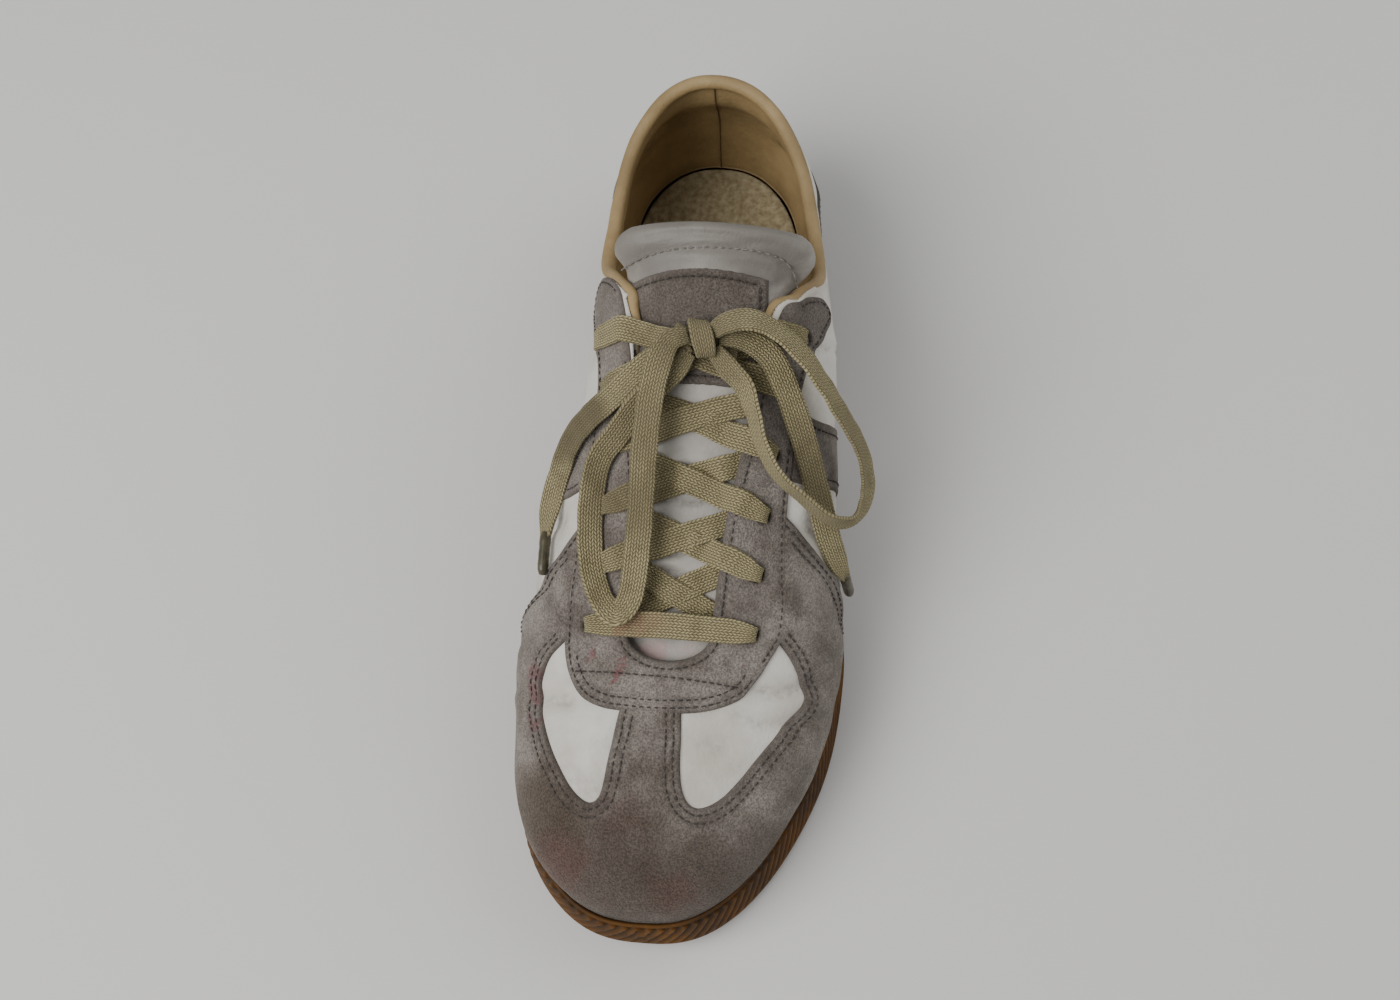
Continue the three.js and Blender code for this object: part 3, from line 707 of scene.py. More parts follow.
def leatherMaterial(name, clean, worn, crease, grainMm, roughness, blots=()):
    material, tree, place, shader = newMaterial(name, {"IOR": 1.5})
    cloud = addNode(tree, "ShaderNodeTexNoise", inputs={
        "Vector": place, "Scale": 1000 / leatherMm["cloud"], "Detail": 6, "Roughness": 0.6})
    spread = addNode(tree, "ShaderNodeMapRange", inputs={
        "Value": cloud, "From Min": 0.4, "From Max": 0.68})
    colour = addNode(tree, "ShaderNodeMix", {"data_type": "RGBA"}, {
        0: spread, 6: linear(clean), 7: linear(worn)}).outputs[2]
    colour = addBlots(tree, place, colour, blots)
    fold = addNode(tree, "ShaderNodeAttribute", {"attribute_name": "crease"})
    fine = addNode(tree, "ShaderNodeTexNoise", inputs={
        "Vector": place, "Scale": 1000 / leatherMm["crackle"], "Detail": 4, "Roughness": 0.7})
    line = addNode(tree, "ShaderNodeMapRange", inputs={
        "Value": fine, "From Min": 0.42, "From Max": 0.66, "To Min": 0.1, "To Max": 0.75})
    dirty = addNode(tree, "ShaderNodeMath", {"operation": "MULTIPLY"},
                    {0: fold.outputs["Fac"], 1: line})
    edge = addNode(tree, "ShaderNodeAttribute", {"attribute_name": "edge"})
    rim = addNode(tree, "ShaderNodeMath", {"operation": "MULTIPLY"}, {0: edge.outputs["Fac"], 1: 0.35})
    for part in (dirty, rim):
        colour = addNode(tree, "ShaderNodeMix", {"data_type": "RGBA"}, {
            0: part, 6: colour, 7: linear(crease)}).outputs[2]
    tree.links.new(colour, shader.inputs["Base Color"])
    grain = addNode(tree, "ShaderNodeTexVoronoi", {"feature": "SMOOTH_F1"}, {
        "Vector": place, "Scale": 1000 / grainMm, "Smoothness": 0.6})
    wrinkle = addNode(tree, "ShaderNodeTexNoise", inputs={
        "Vector": place, "Scale": 1000 / leatherMm["wrinkle"], "Detail": 5, "Roughness": 0.62,
        "Distortion": 0.8})
    low = addNode(tree, "ShaderNodeBump", inputs={
        "Height": wrinkle, "Strength": 0.35, "Distance": 0.0009})
    high = addNode(tree, "ShaderNodeBump", inputs={
        "Height": grain.outputs["Distance"], "Strength": 0.22, "Distance": 0.0003,
        "Normal": low})
    tree.links.new(high.outputs[0], shader.inputs["Normal"])
    rough = addNode(tree, "ShaderNodeMapRange", inputs={
        "Value": cloud, "To Min": roughness - 0.08, "To Max": roughness + 0.14})
    tree.links.new(rough.outputs[0], shader.inputs["Roughness"])
    return material


# Flat herringbone-woven cotton, olive beige: matt, with pale yarn tops, painted shade between them, and
# patches of dirt.
# Real yarns lie about 0.6 mm apart and are drawn twice as coarse so that they show.
cotton = {"light": "#bdb087", "dark": "#483f28", "dirt": "#4d442f", "sheen": "#d8cfae",
          "yarnMm": 1.3, "columnMm": 0.88, "swayMm": 3.846, "cloudMm": 11.11, "fuzzMm": 0.625}


def cottonMaterial(name, blots):
    material, tree, place, shader = newMaterial(name, {
        "Roughness": 0.92, "Specular IOR Level": 0.2, "Sheen Weight": 0.3,
        "Sheen Tint": linear(cotton["sheen"])})
    uv = addNode(tree, "ShaderNodeUVMap", {"uv_map": "UVMap"})
    split = addNode(tree, "ShaderNodeSeparateXYZ", inputs={0: uv})
    sway = addNode(tree, "ShaderNodeTexNoise", inputs={
        "Vector": place, "Scale": 1000 / cotton["swayMm"], "Detail": 2})
    # columns lie side by side over the width, and their yarns lean one way and then the other
    column = addNode(tree, "ShaderNodeMath", {"operation": "DIVIDE"},
                     {0: split.outputs[1], 1: cotton["columnMm"]})
    whole = addNode(tree, "ShaderNodeMath", {"operation": "FLOOR"}, {0: column})
    within = addNode(tree, "ShaderNodeMath", {"operation": "FRACT"}, {0: column})
    odd = addNode(tree, "ShaderNodeMath", {"operation": "PINGPONG"}, {0: whole, 1: 1.0})
    lean = addNode(tree, "ShaderNodeMath", {"operation": "MULTIPLY_ADD"}, {0: odd, 1: -1.6, 2: 0.8})
    tilt = addNode(tree, "ShaderNodeMath", {"operation": "MULTIPLY"}, {0: lean, 1: within})
    run = addNode(tree, "ShaderNodeMath", {"operation": "MULTIPLY_ADD"},
                  {0: split, 1: 1 / cotton["yarnMm"], 2: tilt})
    shifted = addNode(tree, "ShaderNodeMath", {"operation": "MULTIPLY_ADD"},
                      {0: sway, 1: 1.1, 2: run})
    stagger = addNode(tree, "ShaderNodeMath", {"operation": "MULTIPLY_ADD"},
                      {0: odd, 1: 0.5, 2: shifted})
    turn = addNode(tree, "ShaderNodeMath", {"operation": "MULTIPLY"}, {0: stagger, 1: math.pi})
    swell = addNode(tree, "ShaderNodeMath", {"operation": "SINE"}, {0: turn})
    bulge = addNode(tree, "ShaderNodeMath", {"operation": "ABSOLUTE"}, {0: swell})
    side = addNode(tree, "ShaderNodeMath", {"operation": "MULTIPLY"}, {0: within, 1: math.pi})
    arch = addNode(tree, "ShaderNodeMath", {"operation": "SINE"}, {0: side})
    grain = addNode(tree, "ShaderNodeMath", {"operation": "MULTIPLY"}, {0: bulge, 1: arch})
    yarn = addNode(tree, "ShaderNodeMath", {"operation": "POWER"}, {0: grain, 1: 0.6})
    cloud = addNode(tree, "ShaderNodeTexNoise", inputs={
        "Vector": place, "Scale": 1000 / cotton["cloudMm"], "Detail": 5, "Roughness": 0.7})
    weaveShade = addNode(tree, "ShaderNodeMath", {"operation": "MULTIPLY"}, {0: yarn, 1: cloud})
    spread = addNode(tree, "ShaderNodeMapRange", inputs={
        "Value": weaveShade, "From Min": 0.02, "From Max": 0.52})
    # where the weave dips between the yarns the colour goes dark: painted shade
    colour = addNode(tree, "ShaderNodeMix", {"data_type": "RGBA"}, {
        0: spread, 6: linear(cotton["dark"]), 7: linear(cotton["light"])}).outputs[2]
    dirt = addNode(tree, "ShaderNodeMapRange", inputs={
        "Value": cloud, "From Min": 0.5, "From Max": 0.72, "To Max": 0.45})
    colour = addNode(tree, "ShaderNodeMix", {"data_type": "RGBA"}, {
        0: dirt, 6: colour, 7: linear(cotton["dirt"])}).outputs[2]
    colour = addBlots(tree, place, colour, blots)
    tree.links.new(colour, shader.inputs["Base Color"])
    fuzz = addNode(tree, "ShaderNodeTexNoise", inputs={
        "Vector": place, "Scale": 1000 / cotton["fuzzMm"], "Detail": 2})
    height = addNode(tree, "ShaderNodeMath", {"operation": "MULTIPLY_ADD"},
                     {0: fuzz, 1: 0.5, 2: yarn})
    bump = addNode(tree, "ShaderNodeBump", inputs={
        "Height": height, "Strength": 0.8, "Distance": 0.0005})
    tree.links.new(bump.outputs[0], shader.inputs["Normal"])
    return material


# Natural gum rubber, moulded: amber brown, its colours darkened as painted shade, satin, with painted
# shade and grime in its hollows
gum = {"light": "#72480f", "dark": "#412807", "shadeAndGrime": "#140c03", "cloudMm": 16.67, "skinMm": 1.111}


def gumMaterial(name):
    material, tree, place, shader = newMaterial(name, {
        "IOR": 1.52, "Specular IOR Level": 0.28, "Subsurface Weight": 0.08,
        "Subsurface Radius": (0.004, 0.002, 0.001)})
    cloud = addNode(tree, "ShaderNodeTexNoise", inputs={
        "Vector": place, "Scale": 1000 / gum["cloudMm"], "Detail": 6, "Roughness": 0.65})
    spread = addNode(tree, "ShaderNodeMapRange", inputs={
        "Value": cloud, "From Min": 0.35, "From Max": 0.66})
    colour = addNode(tree, "ShaderNodeMix", {"data_type": "RGBA"}, {
        0: spread, 6: linear(gum["dark"]), 7: linear(gum["light"])}).outputs[2]
    # the hollow value darkens rib troughs, tread grooves, the underside of the lip and the inside of the
    # cup: painted shade with grime
    hollowShadeAndGrime = addNode(tree, "ShaderNodeAttribute", {"attribute_name": "hollowShadeAndGrime"})
    shadeAndGrime = addNode(tree, "ShaderNodeMath", {"operation": "MULTIPLY"},
                    {0: hollowShadeAndGrime.outputs["Fac"], 1: 0.8})
    colour = addNode(tree, "ShaderNodeMix", {"data_type": "RGBA"}, {
        0: shadeAndGrime, 6: colour, 7: linear(gum["shadeAndGrime"])}).outputs[2]
    tree.links.new(colour, shader.inputs["Base Color"])
    fine = addNode(tree, "ShaderNodeTexNoise", inputs={
        "Vector": place, "Scale": 1000 / gum["skinMm"], "Detail": 4})
    bump = addNode(tree, "ShaderNodeBump", inputs={
        "Height": fine, "Strength": 0.3, "Distance": 0.0004})
    tree.links.new(bump.outputs[0], shader.inputs["Normal"])
    rough = addNode(tree, "ShaderNodeMapRange", inputs={
        "Value": cloud, "To Min": 0.58, "To Max": 0.8})
    tree.links.new(rough.outputs[0], shader.inputs["Roughness"])
    return material


# Anything plainer: bonded thread, moulded film, woven sock cloth, paper
def plainMaterial(name, light, dark, roughness, scaleMm, bumpMm, sheen=0.0):
    material, tree, place, shader = newMaterial(name, {"Roughness": roughness, "Sheen Weight": sheen})
    cloud = addNode(tree, "ShaderNodeTexNoise", inputs={
        "Vector": place, "Scale": 1000 / scaleMm, "Detail": 5, "Roughness": 0.65})
    spread = addNode(tree, "ShaderNodeMapRange", inputs={
        "Value": cloud, "From Min": 0.36, "From Max": 0.64})
    colour = addNode(tree, "ShaderNodeMix", {"data_type": "RGBA"}, {
        0: spread, 6: linear(dark), 7: linear(light)}).outputs[2]
    tree.links.new(colour, shader.inputs["Base Color"])
    bump = addNode(tree, "ShaderNodeBump", inputs={
        "Height": cloud, "Strength": 0.5, "Distance": bumpMm * mm})
    tree.links.new(bump.outputs[0], shader.inputs["Normal"])
    return material


# Marks on each material: dirt and painted shade on the toe, red stains beside the throat, painted shade
# on the tongue, the flaps and the collar, and dirt with painted shade on the laces
suedeStainsDirtAndShade = [
    # toe: wide dark patches, painted shade with dirt
    ((128, -16, 38), 32, "#4f433b", 0.8), ((134, 12, 36), 26, "#4b4037", 0.75),
    ((104, -4, 48), 15, "#4f443a", 0.5), ((112, -38, 38), 24, "#4d4135", 0.75),
    ((122, 30, 36), 22, "#50453d", 0.65), ((96, 40, 42), 14, "#534941", 0.45),
    ((126, -30, 36), 13, "#62423d", 0.45), ((134, 6, 36), 11, "#5d3d39", 0.4),
    ((113, -12, 47), 9, "#5b423d", 0.3), ((66, -25, 58), 3, "#8a4650", 0.5),
    ((66, -14, 60), 2.6, "#93474f", 0.6), ((70, -15, 60), 2.2, "#8e434d", 0.55),
    ((72, 3, 59), 2.2, "#8c424d", 0.6), ((62, -22, 59), 2, "#86464f", 0.5),
    ((64, 25, 58), 2, "#86464f", 0.35), ((69, -43, 49), 5, "#824650", 0.5),
    ((76, -43, 47), 4.5, "#824650", 0.55), ((84, -42, 45), 4, "#824650", 0.4),
    # dark patches over the tongue patch, both flaps and the inner eyestay: painted shade
    ((-30, 0, 110), 30, "#544b42", 0.72), ((-42, -34, 98), 18, "#584f48", 0.6),
    ((-42, 40, 98), 18, "#564d46", 0.6), ((30, -38, 62), 14, "#5d534c", 0.4),
    ((78, -8, 56), 12, "#a1978e", 0.4), ((74, 12, 57), 11, "#9d938a", 0.35),
]
leatherBlots = [
    ((60, -9, 62), 9, "#b99492", 0.55), ((57, 4, 62), 6, "#bf9f9a", 0.4),
    ((90, 14, 52), 14, "#b3a999", 0.35), ((104, -22, 48), 8, "#b0a898", 0.35),
]
tongueStainsAndShade = [
    ((64, -6, 57), 8, "#b7918e", 0.6), ((61, 5, 58), 5, "#b59c96", 0.4),
    # darker patches down the tongue are painted shade with grime, and the dark patches at its top are
    # painted shade
    ((20, 2, 78), 16, "#8f8a84", 0.35), ((36, 8, 68), 10, "#9c9690", 0.4),
    ((-4, -3, 90), 14, "#8c8781", 0.4), ((-54, -16, 113), 26, "#6f6961", 0.85),
    ((-54, 24, 113), 24, "#69635b", 0.85), ((-55, 4, 115), 20, "#746e66", 0.75),
]
laceStainsDirtAndShade = [
    ((56, -13, 66), 7, "#8a6452", 0.5), ((56, -5, 67), 5, "#8f7058", 0.4),
    # the small dark red spot is a stain; the wide dark patches on the loops, ends and crossings are
    # painted shade with dirt
    ((9, -24, 90), 1.6, "#5a2a1c", 0.95), ((-6, -34, 82), 24, "#574e3a", 0.8),
    ((-22, 4, 110), 24, "#665c46", 0.5), ((8, 50, 82), 26, "#665c46", 0.5),
    ((22, -16, 84), 20, "#635943", 0.6), ((2, -10, 100), 18, "#675d47", 0.45),
]

skins = {
    "suede": suedeMaterial("brushedSplitSuede", suedeStainsDirtAndShade),
    "leather": leatherMaterial("whiteCorrectedGrainLeather", **whiteLeather, blots=leatherBlots),
    "shadedTongueLeather": leatherMaterial("softTongueLeatherPaintedShade", **shadedTongueLeather, blots=tongueStainsAndShade),
    "tan": leatherMaterial("tanLiningLeather", **tanLeather),
    "cotton": cottonMaterial("herringboneCotton", laceStainsDirtAndShade),
    "gum": gumMaterial("mouldedGumRubber"),
    # the thread is drawn darker than its real grey, as painted shade in the stitch holes
    "thread": plainMaterial("bondedThreadPaintedShade", "#4c443e", "#2c2622", 0.8, 1.2, 0.1),
    "whiteThread": plainMaterial("paleBondedThread", "#8c867f", "#5c5650", 0.75, 1.2, 0.1),
    "sock": plainMaterial("wovenSockCloth", "#b5a888", "#8d7f60", 0.95, 2.4, 0.3, 0.2),
    "film": plainMaterial("crimpedAcetateFilm", "#57503a", "#3b3626", 0.34, 3.0, 0.05),
}
print("materials made")


seat = {"drop": 3.5}  # how far the upper runs down inside the cup
lowGirth = {s: girthAtHeight(stations, s, smooth("lipZ", stations) - seat["drop"]) for s in (-1, 1)}
tipX = float(stations[np.argmax(lowGirth[1] <= 0.01)])


def lowAt(x, side):
    return side * np.interp(x, stations, lowGirth[side])


rimEase = ((-42, -34), (29.9, 25.9))  # stations, and most girth there, where the medial flap turns


def topAt(x, side):
    x = np.atleast_1d(np.asarray(x, float))
    collar = girthAtHeight(x, side, smooth("collarZ", x))
    throat = girthAtHalf(x, side, throatHalfAt(np.maximum(x, stayTop)))
    if side < 0:  # eased, so that the rim runs from collar to throat without a step
        throat = np.minimum(throat, np.interp(x, *rimEase))
    return side * np.where(x < stayTop, collar, throat)


def lowRun(fromX, toX, side):
    xs = stations[(stations > min(fromX, toX)) & (stations < max(fromX, toX))]
    xs = np.concatenate([[min(fromX, toX)], xs[::2], [max(fromX, toX)]])
    xs = xs if toX > fromX else xs[::-1]
    return np.stack([xs, lowAt(xs, side)], 1)


# From the outer side round the tip to the inner side
def roundToe(fromX, toX):
    return np.concatenate([lowRun(fromX, tipX, 1), lowRun(tipX, toX, -1)[1:]])


def throatRun(away=0.0, fromX=stayTop):
    t = np.linspace(0, math.pi / 2, 12)
    ends = throatEnd - throatRound + (throatRound + away) * np.sin(t)
    halves = (smooth("throatHalf", ends) + away) * np.cos(t)
    front = np.array([girthAtHalf([min(x, throatEnd + 3)], 1, h)[0] for x, h in zip(ends, halves)])
    xs = np.arange(fromX, throatEnd - throatRound - 1, 3.0)
    runs = {s: np.abs(topAt(xs, s)) + away for s in (-1, 1)}
    left, right = (np.stack([np.concatenate([xs, ends]), s * np.concatenate([runs[s], front])], 1)
                   for s in (-1, 1))
    return np.concatenate([left, right[::-1][1:]])


def collarRun(side):
    xs = np.concatenate([stations[stations < -100][::3], np.arange(-99, stayTop, 3.0), [stayTop]])
    return np.stack([xs, topAt(xs, side)], 1)


eyeletRadius = 2.1


def holeLoops():
    loops = []
    for side in (-1, 1):
        for x in holeX:
            g = side * girthAtHalf([x], side, smooth("holeHalf", x))[0]
            s = np.interp(x, stations, lengths)
            t = np.linspace(0, 2 * math.pi, 13)[:-1]
            loops.append(np.stack([s + eyeletRadius * np.cos(t), g + eyeletRadius * np.sin(t)], 1))
    return loops


holes = holeLoops()
leftTop, rightTop = collarRun(-1), collarRun(1)
baseLoop = makeLoop([
    [(heelX, lowAt(heelX, -1)), leftTop[0]], leftTop, throatRun(), rightTop[::-1],
    [rightTop[0], (heelX, lowAt(heelX, 1))], roundToe(heelX, heelX),
])
makePanel("upper_leather", baseLoop, skins["leather"], 0.0, upperWall, holes=holes,
          nodes=("upper",))
print("upper leather cut")

lining = {"behind": 0.15, "thick": 0.6, "pitch": 3.0}
padding = {"thick": 2.6, "below": 10, "half": 8, "fromX": -52, "over": 12}  # foam behind the lining


def padInside(x, g):
    rim = np.where(g < 0, np.interp(x, *leftTop.T), np.interp(x, *rightTop.T))
    down = np.abs(g) - np.abs(rim)
    back = np.clip((padding["fromX"] - x) / padding["over"], 0, 1)
    return -padding["thick"] * back * np.exp(-((down - padding["below"]) / padding["half"]) ** 2)


makePanel("collar_lining", baseLoop, skins["tan"], -upperWall - lining["behind"],
          lining["thick"], pitch=lining["pitch"], flip=True, extra=padInside)

# Suede overlays: how far each stands out, how deep its edge goes, and the height of its stitches
overlays = {
    "guard": {"lift": 1.25, "edge": 1.6, "stitch": 1.05},
    "saddle": {"lift": 0.9, "edge": 1.2, "stitch": 0.75},
    "counter": {"lift": 1.1, "edge": 1.4, "stitch": 0.95},
    "bib": {"lift": 1.35, "edge": 1.7, "stitch": 1.15},
}


def addOverlay(kind, name, stitchName, loop, seams, holes=()):
    cut = overlays[kind]
    makePanel(name, loop, skins["suede"], cut["lift"], cut["edge"], holes=holes, seams=seams)
    sew(stitchName, seams, skinPlace(cut["stitch"]))


# Toe guard with its stem and two wings, all one piece
guardLoop = makeLoop([
    [(19, 30), (22, 36), (26, 42), (31, 52), (35, 61), (39, 70), (43, 80), (46, lowAt(46, 1))],
    roundToe(46, 52),
    [(52, lowAt(52, -1)), (50, -76), (46, -64), (41, -53), (38, -48), (34, -43), (27, -36), (24, -31)],
    [(24, -31), (58, -31)],
    [(58, -31), (61, -34), (65, -38.5), (70, -41.2), (77, -41), (85, -38.4), (92, -34.8), (99, -30.6),
     (105, -26.4), (109, -22.3), (110.8, -18.6), (109, -15.8), (103, -14.6), (94, -13.8),
     (84, -12.8), (76, -12)],
    [(76, -12), (76, 6)],
    [(76, 6), (82, 7), (89, 8), (97, 8.8), (104, 10), (108.4, 12), (110.3, 15), (109.6, 18.5),
     (106.5, 23), (101, 27.6), (94, 32.2), (87, 37), (80, 41.6), (75, 45.4), (71.5, 46.4), (66.5, 43),
     (60, 37.4), (55, 31)],
    [(55, 31), (19, 30)],
])


# Seams run where the panel isn't hidden by another one or by the sole
def awayFromSole(x, g, margin):
    return np.abs(g) < np.abs(np.where(g > 0, lowAt(x, 1), lowAt(x, -1))) - margin


def awayFromBib(x, g):
    return ~((x < 80) & (np.abs(g) < 33.5)) & awayFromSole(x, g, 1.5)


guardSeams = insetLine(guardLoop, 2.3, awayFromBib) + insetLine(guardLoop, 4.7, awayFromBib)
addOverlay("guard", "toe_guard", "toe_guard_stitches", guardLoop, guardSeams)
print("toe guard sewn")

# Saddle bands down both sides
bandLoops = {
    "lateral": makeLoop([
        [(10, 33), (10, 37), (9, 45), (4.5, 62), (1.5, 78), (0, lowAt(0, 1))], lowRun(0, -22, 1),
        [(-22, lowAt(-22, 1)), (-20, 86), (-15.5, 66), (-11, 48), (-10, 38), (-10, 34)],
        [(-10, 34), (10, 33)]]),
    "medial": makeLoop([
        [(-14, -34), (-14, -38), (-14, -47), (-17, -66), (-21, -86), (-23, lowAt(-23, -1))],
        lowRun(-23, 4, -1),
        [(4, lowAt(4, -1)), (7, -80), (11, -64), (14.5, -50), (15.5, -42), (13, -33)],
        [(13, -33), (-14, -34)]]),
}


def aboveSole(x, g):
    return awayFromSole(x, g, 2) & (np.abs(g) > 38)


for name, loop in bandLoops.items():
    seams = insetLine(loop, 2.6, aboveSole)
    addOverlay("saddle", f"saddle_{name}", f"saddle_{name}_stitches", loop, seams)

# Heel counter, in two halves that meet at the back seam
counterTop = [[-146, 63], [-132, 62], [-114, 57], [-96, 47], [-82, 36], [-68, 20]]


def onCounter(x, g):
    return aboveSole(x, g) & (x > heelX + 0.5)


for side, name in ((-1, "medial"), (1, "lateral")):
    xs = np.concatenate([stations[stations < -100][::2], np.arange(-99, -69, 2.0)])
    top = np.stack([xs, side * girthAtHeight(xs, side, smooth(counterTop, xs))], 1)
    top = top[np.abs(top[:, 1]) < np.abs(lowAt(top[:, 0], side)) - 0.5]
    endX = float(top[-1, 0]) + 1
    loop = makeLoop([top, [top[-1], (endX, lowAt(endX, side))], lowRun(endX, heelX, side),
                     [(heelX, lowAt(heelX, side)), top[0]]])
    seams = insetLine(loop, 2.8, onCounter) + insetLine(loop, 5.4, onCounter)
    addOverlay("counter", f"heel_counter_{name}", f"heel_counter_{name}_stitches", loop, seams)

# Bib and eyestays, one piece round the throat
# Flaps' inner edges: station, and how far the edge stands back from the rim
leftFlap = np.array([(-50, -0.9), (-46.5, -0.8), (-43, -0.3), (-38, 0.3), (-33, 0.6), (-27, 0.5),
                     (-21, -0.2)])
rightFlap = np.array([(-45, 2.4), (-43.4, 0.7), (-41, 0.1), (-38, 0.9), (-33, 1.3), (-27, 0.8),
                      (-21, -0.2)])
for side, flap in ((-1, leftFlap), (1, rightFlap)):
    flap[:, 1] = topAt(flap[:, 0], side) + side * flap[:, 1]
bibLoop = makeLoop([
    np.concatenate([leftFlap, throatRun(-0.5, -16), rightFlap[::-1]]),
    [rightFlap[0], (-46.6, 42.4), (-47.8, 47), (-46.6, 52.4), (-42.6, 52.6), (-36, 47), (-24, 38.6),
     (-13, 35.4), (4, 33.6), (21, 33.4), (38, 35), (47, 36.2), (55, 35.8), (62.5, 33), (70, 29),
     (75.5, 25.4), (79, 20), (81.3, 13), (82.3, 5), (82.6, -3), (82.4, -10), (81.6, -18),
     (78.8, -25), (73.4, -30), (67, -33), (60, -34.4), (45, -35.6), (27, -35.6), (8, -36),
     (-11, -37.4), (-24, -41), (-36, -50), (-44, -56.4), (-50, -57), (-53.4, -52.4), (-53.4, -45.6),
     leftFlap[0]],
])


def outerEdge(x, g):
    return ~((x < 70) & (np.abs(g) < 31))


def frontEdge(x, g):
    return outerEdge(x, g) & (x > 64)


def innerEdge(x, g):
    return (np.abs(g) < 27) & (x > -22) & (x <= 74)


bibSeams = insetLine(bibLoop, 1.9, outerEdge) + insetLine(bibLoop, 4.3, frontEdge)
bibSeams += insetLine(bibLoop, 2.4, innerEdge)
crossSeam = [(70.4, -29.5), (70.8, -17), (71.2, -5), (71.6, 6), (72.2, 16), (72.8, 25)]
bibSeams.append(smoothLine(toFlat(crossSeam), 1.0))
addOverlay("bib", "bib_eyestays", "bib_stitches", bibLoop, bibSeams, holes)
print("bib and eyestays sewn")

# Lining rolled over the rim, thinner on the flaps
collarRoll = {"radius": 2.4, "flapRadius": 1.9, "lift": -1.8, "above": 0.7, "fromX": -26}


def tube(name, line, radii, material, sides=12, nodes=()):
    line = np.asarray(line, float)
    ahead = np.gradient(line, axis=0)
    ahead /= np.linalg.norm(ahead, axis=1, keepdims=True)
    across = np.cross(ahead[0], (0.1, 0.2, 1.0))
    points = []
    for k, (centre, way) in enumerate(zip(line, ahead)):
        across = across - way * np.dot(across, way)
        across = across / np.linalg.norm(across)
        other = np.cross(way, across)
        for turn in (j * 2 * math.pi / sides for j in range(sides)):
            points.append(centre + (across * math.cos(turn) + other * math.sin(turn)) * radii[k])
    return makeObject(name, points, ringFaces(len(line), sides), material, nodes)


def rimLine(side, xs):
    g = topAt(xs, side)
    edge = onSkin(xs, g, collarRoll["lift"])
    above = onSkin(xs, g - side * 3, collarRoll["lift"]) - edge
    above /= np.linalg.norm(above, axis=1, keepdims=True)
    return edge + above * collarRoll["above"]


rimX = np.concatenate([stations[stations < -100][::2], np.arange(-99, collarRoll["fromX"], 1.5)])
rim = np.concatenate([rimLine(-1, rimX)[::-1], rimLine(1, rimX)[1:]])
rim = smoothLine(rim[::3], 1.6)
taper = np.minimum(1, np.minimum(np.arange(len(rim)), np.arange(len(rim))[::-1]) / 9)
plump = np.clip((-48 - rim[:, 0]) / 16, 0, 1)
plump = collarRoll["flapRadius"] + (collarRoll["radius"] - collarRoll["flapRadius"]) * plump
tube("collar_roll", rim, plump * (0.35 + 0.65 * np.sqrt(taper)), skins["tan"])

backStrap = {"half": 8.0, "lift": 1.9, "fromZ": 26, "waist": 0.72, "heelHalf": 34.5}


def makeBackStrap():
    rows, cols = 44, 17
    t = np.linspace(-1, 1, cols)
    # station where the heel is half as wide as wanted
    xs = np.linspace(heelX, heelX + 6, 200)
    widths = backStrap["heelHalf"] * endRound(xs)
    x = np.interp(np.abs(t) * backStrap["half"], widths, xs)
    side = np.where(t < 0, -1, 1)

    def ends(x, side):
        return np.array([(topAt([one], s)[0], girthAtHeight([one], s, backStrap["fromZ"])[0] * s)
                         for one, s in zip(x, side)]).T

    top, low = ends(x, side)
    edge = 1 - np.abs(t) ** 8
    points = []
    for v in np.linspace(0, 1, rows):
        narrow = backStrap["waist"] + (1 - backStrap["waist"]) * v
        xn = np.interp(np.abs(t) * backStrap["half"] * narrow, widths, xs)
        g = top * (1 - v) + low * v + side * 0.6 * (1 - v)
        height = backStrap["lift"] * np.sqrt(np.clip(edge, 0, 1)) * min(1, 0.3 + 8 * v)
        points.append(onSkin(xn, g, height))
    makeObject("back_strap", np.concatenate(points), gridFaces(rows, cols), skins["suede"])
    lines = []
    v = np.linspace(0.05, 0.95, 40)
    narrow = backStrap["waist"] + (1 - backStrap["waist"]) * v
    xn = np.interp(backStrap["half"] * 0.7 * narrow, widths, xs)
    for s in (-1, 1):
        top, low = ends(xn, [s] * len(xn))
        lines.append(toFlat(np.stack([xn, top * (1 - v) + low * v], 1)))
    sew("back_strap_stitches", lines, skinPlace(1.75))


makeBackStrap()

# Pinked white edge that shows between the eyestay and the lining
pinked = {"toothMm": 1.3, "lift": 0.75}


def makePinkedStrip(side, name):
    xs = np.arange(-50, -19, 0.55)
    top = topAt(xs, side)
    tooth = np.abs((xs / pinked["toothMm"]) % 1 - 0.5) * 1.5
    inner = top - side * (0.7 - tooth * 0.6)
    outer = top + side * 3.0
    rows = [onSkin(xs, inner + (outer - inner) * v, h)
            for v, h in ((0, 0.1), (0.03, pinked["lift"]), (0.5, pinked["lift"]), (1, 0.2))]
    faces = gridFaces(len(rows), len(xs), turned=True)
    if side < 0:
        faces = [f[::-1] for f in faces]
    makeObject(f"pinked_strip_{name}", np.concatenate(rows), faces, skins["leather"])


makePinkedStrip(-1, "medial")
makePinkedStrip(1, "lateral")
print("collar finished")


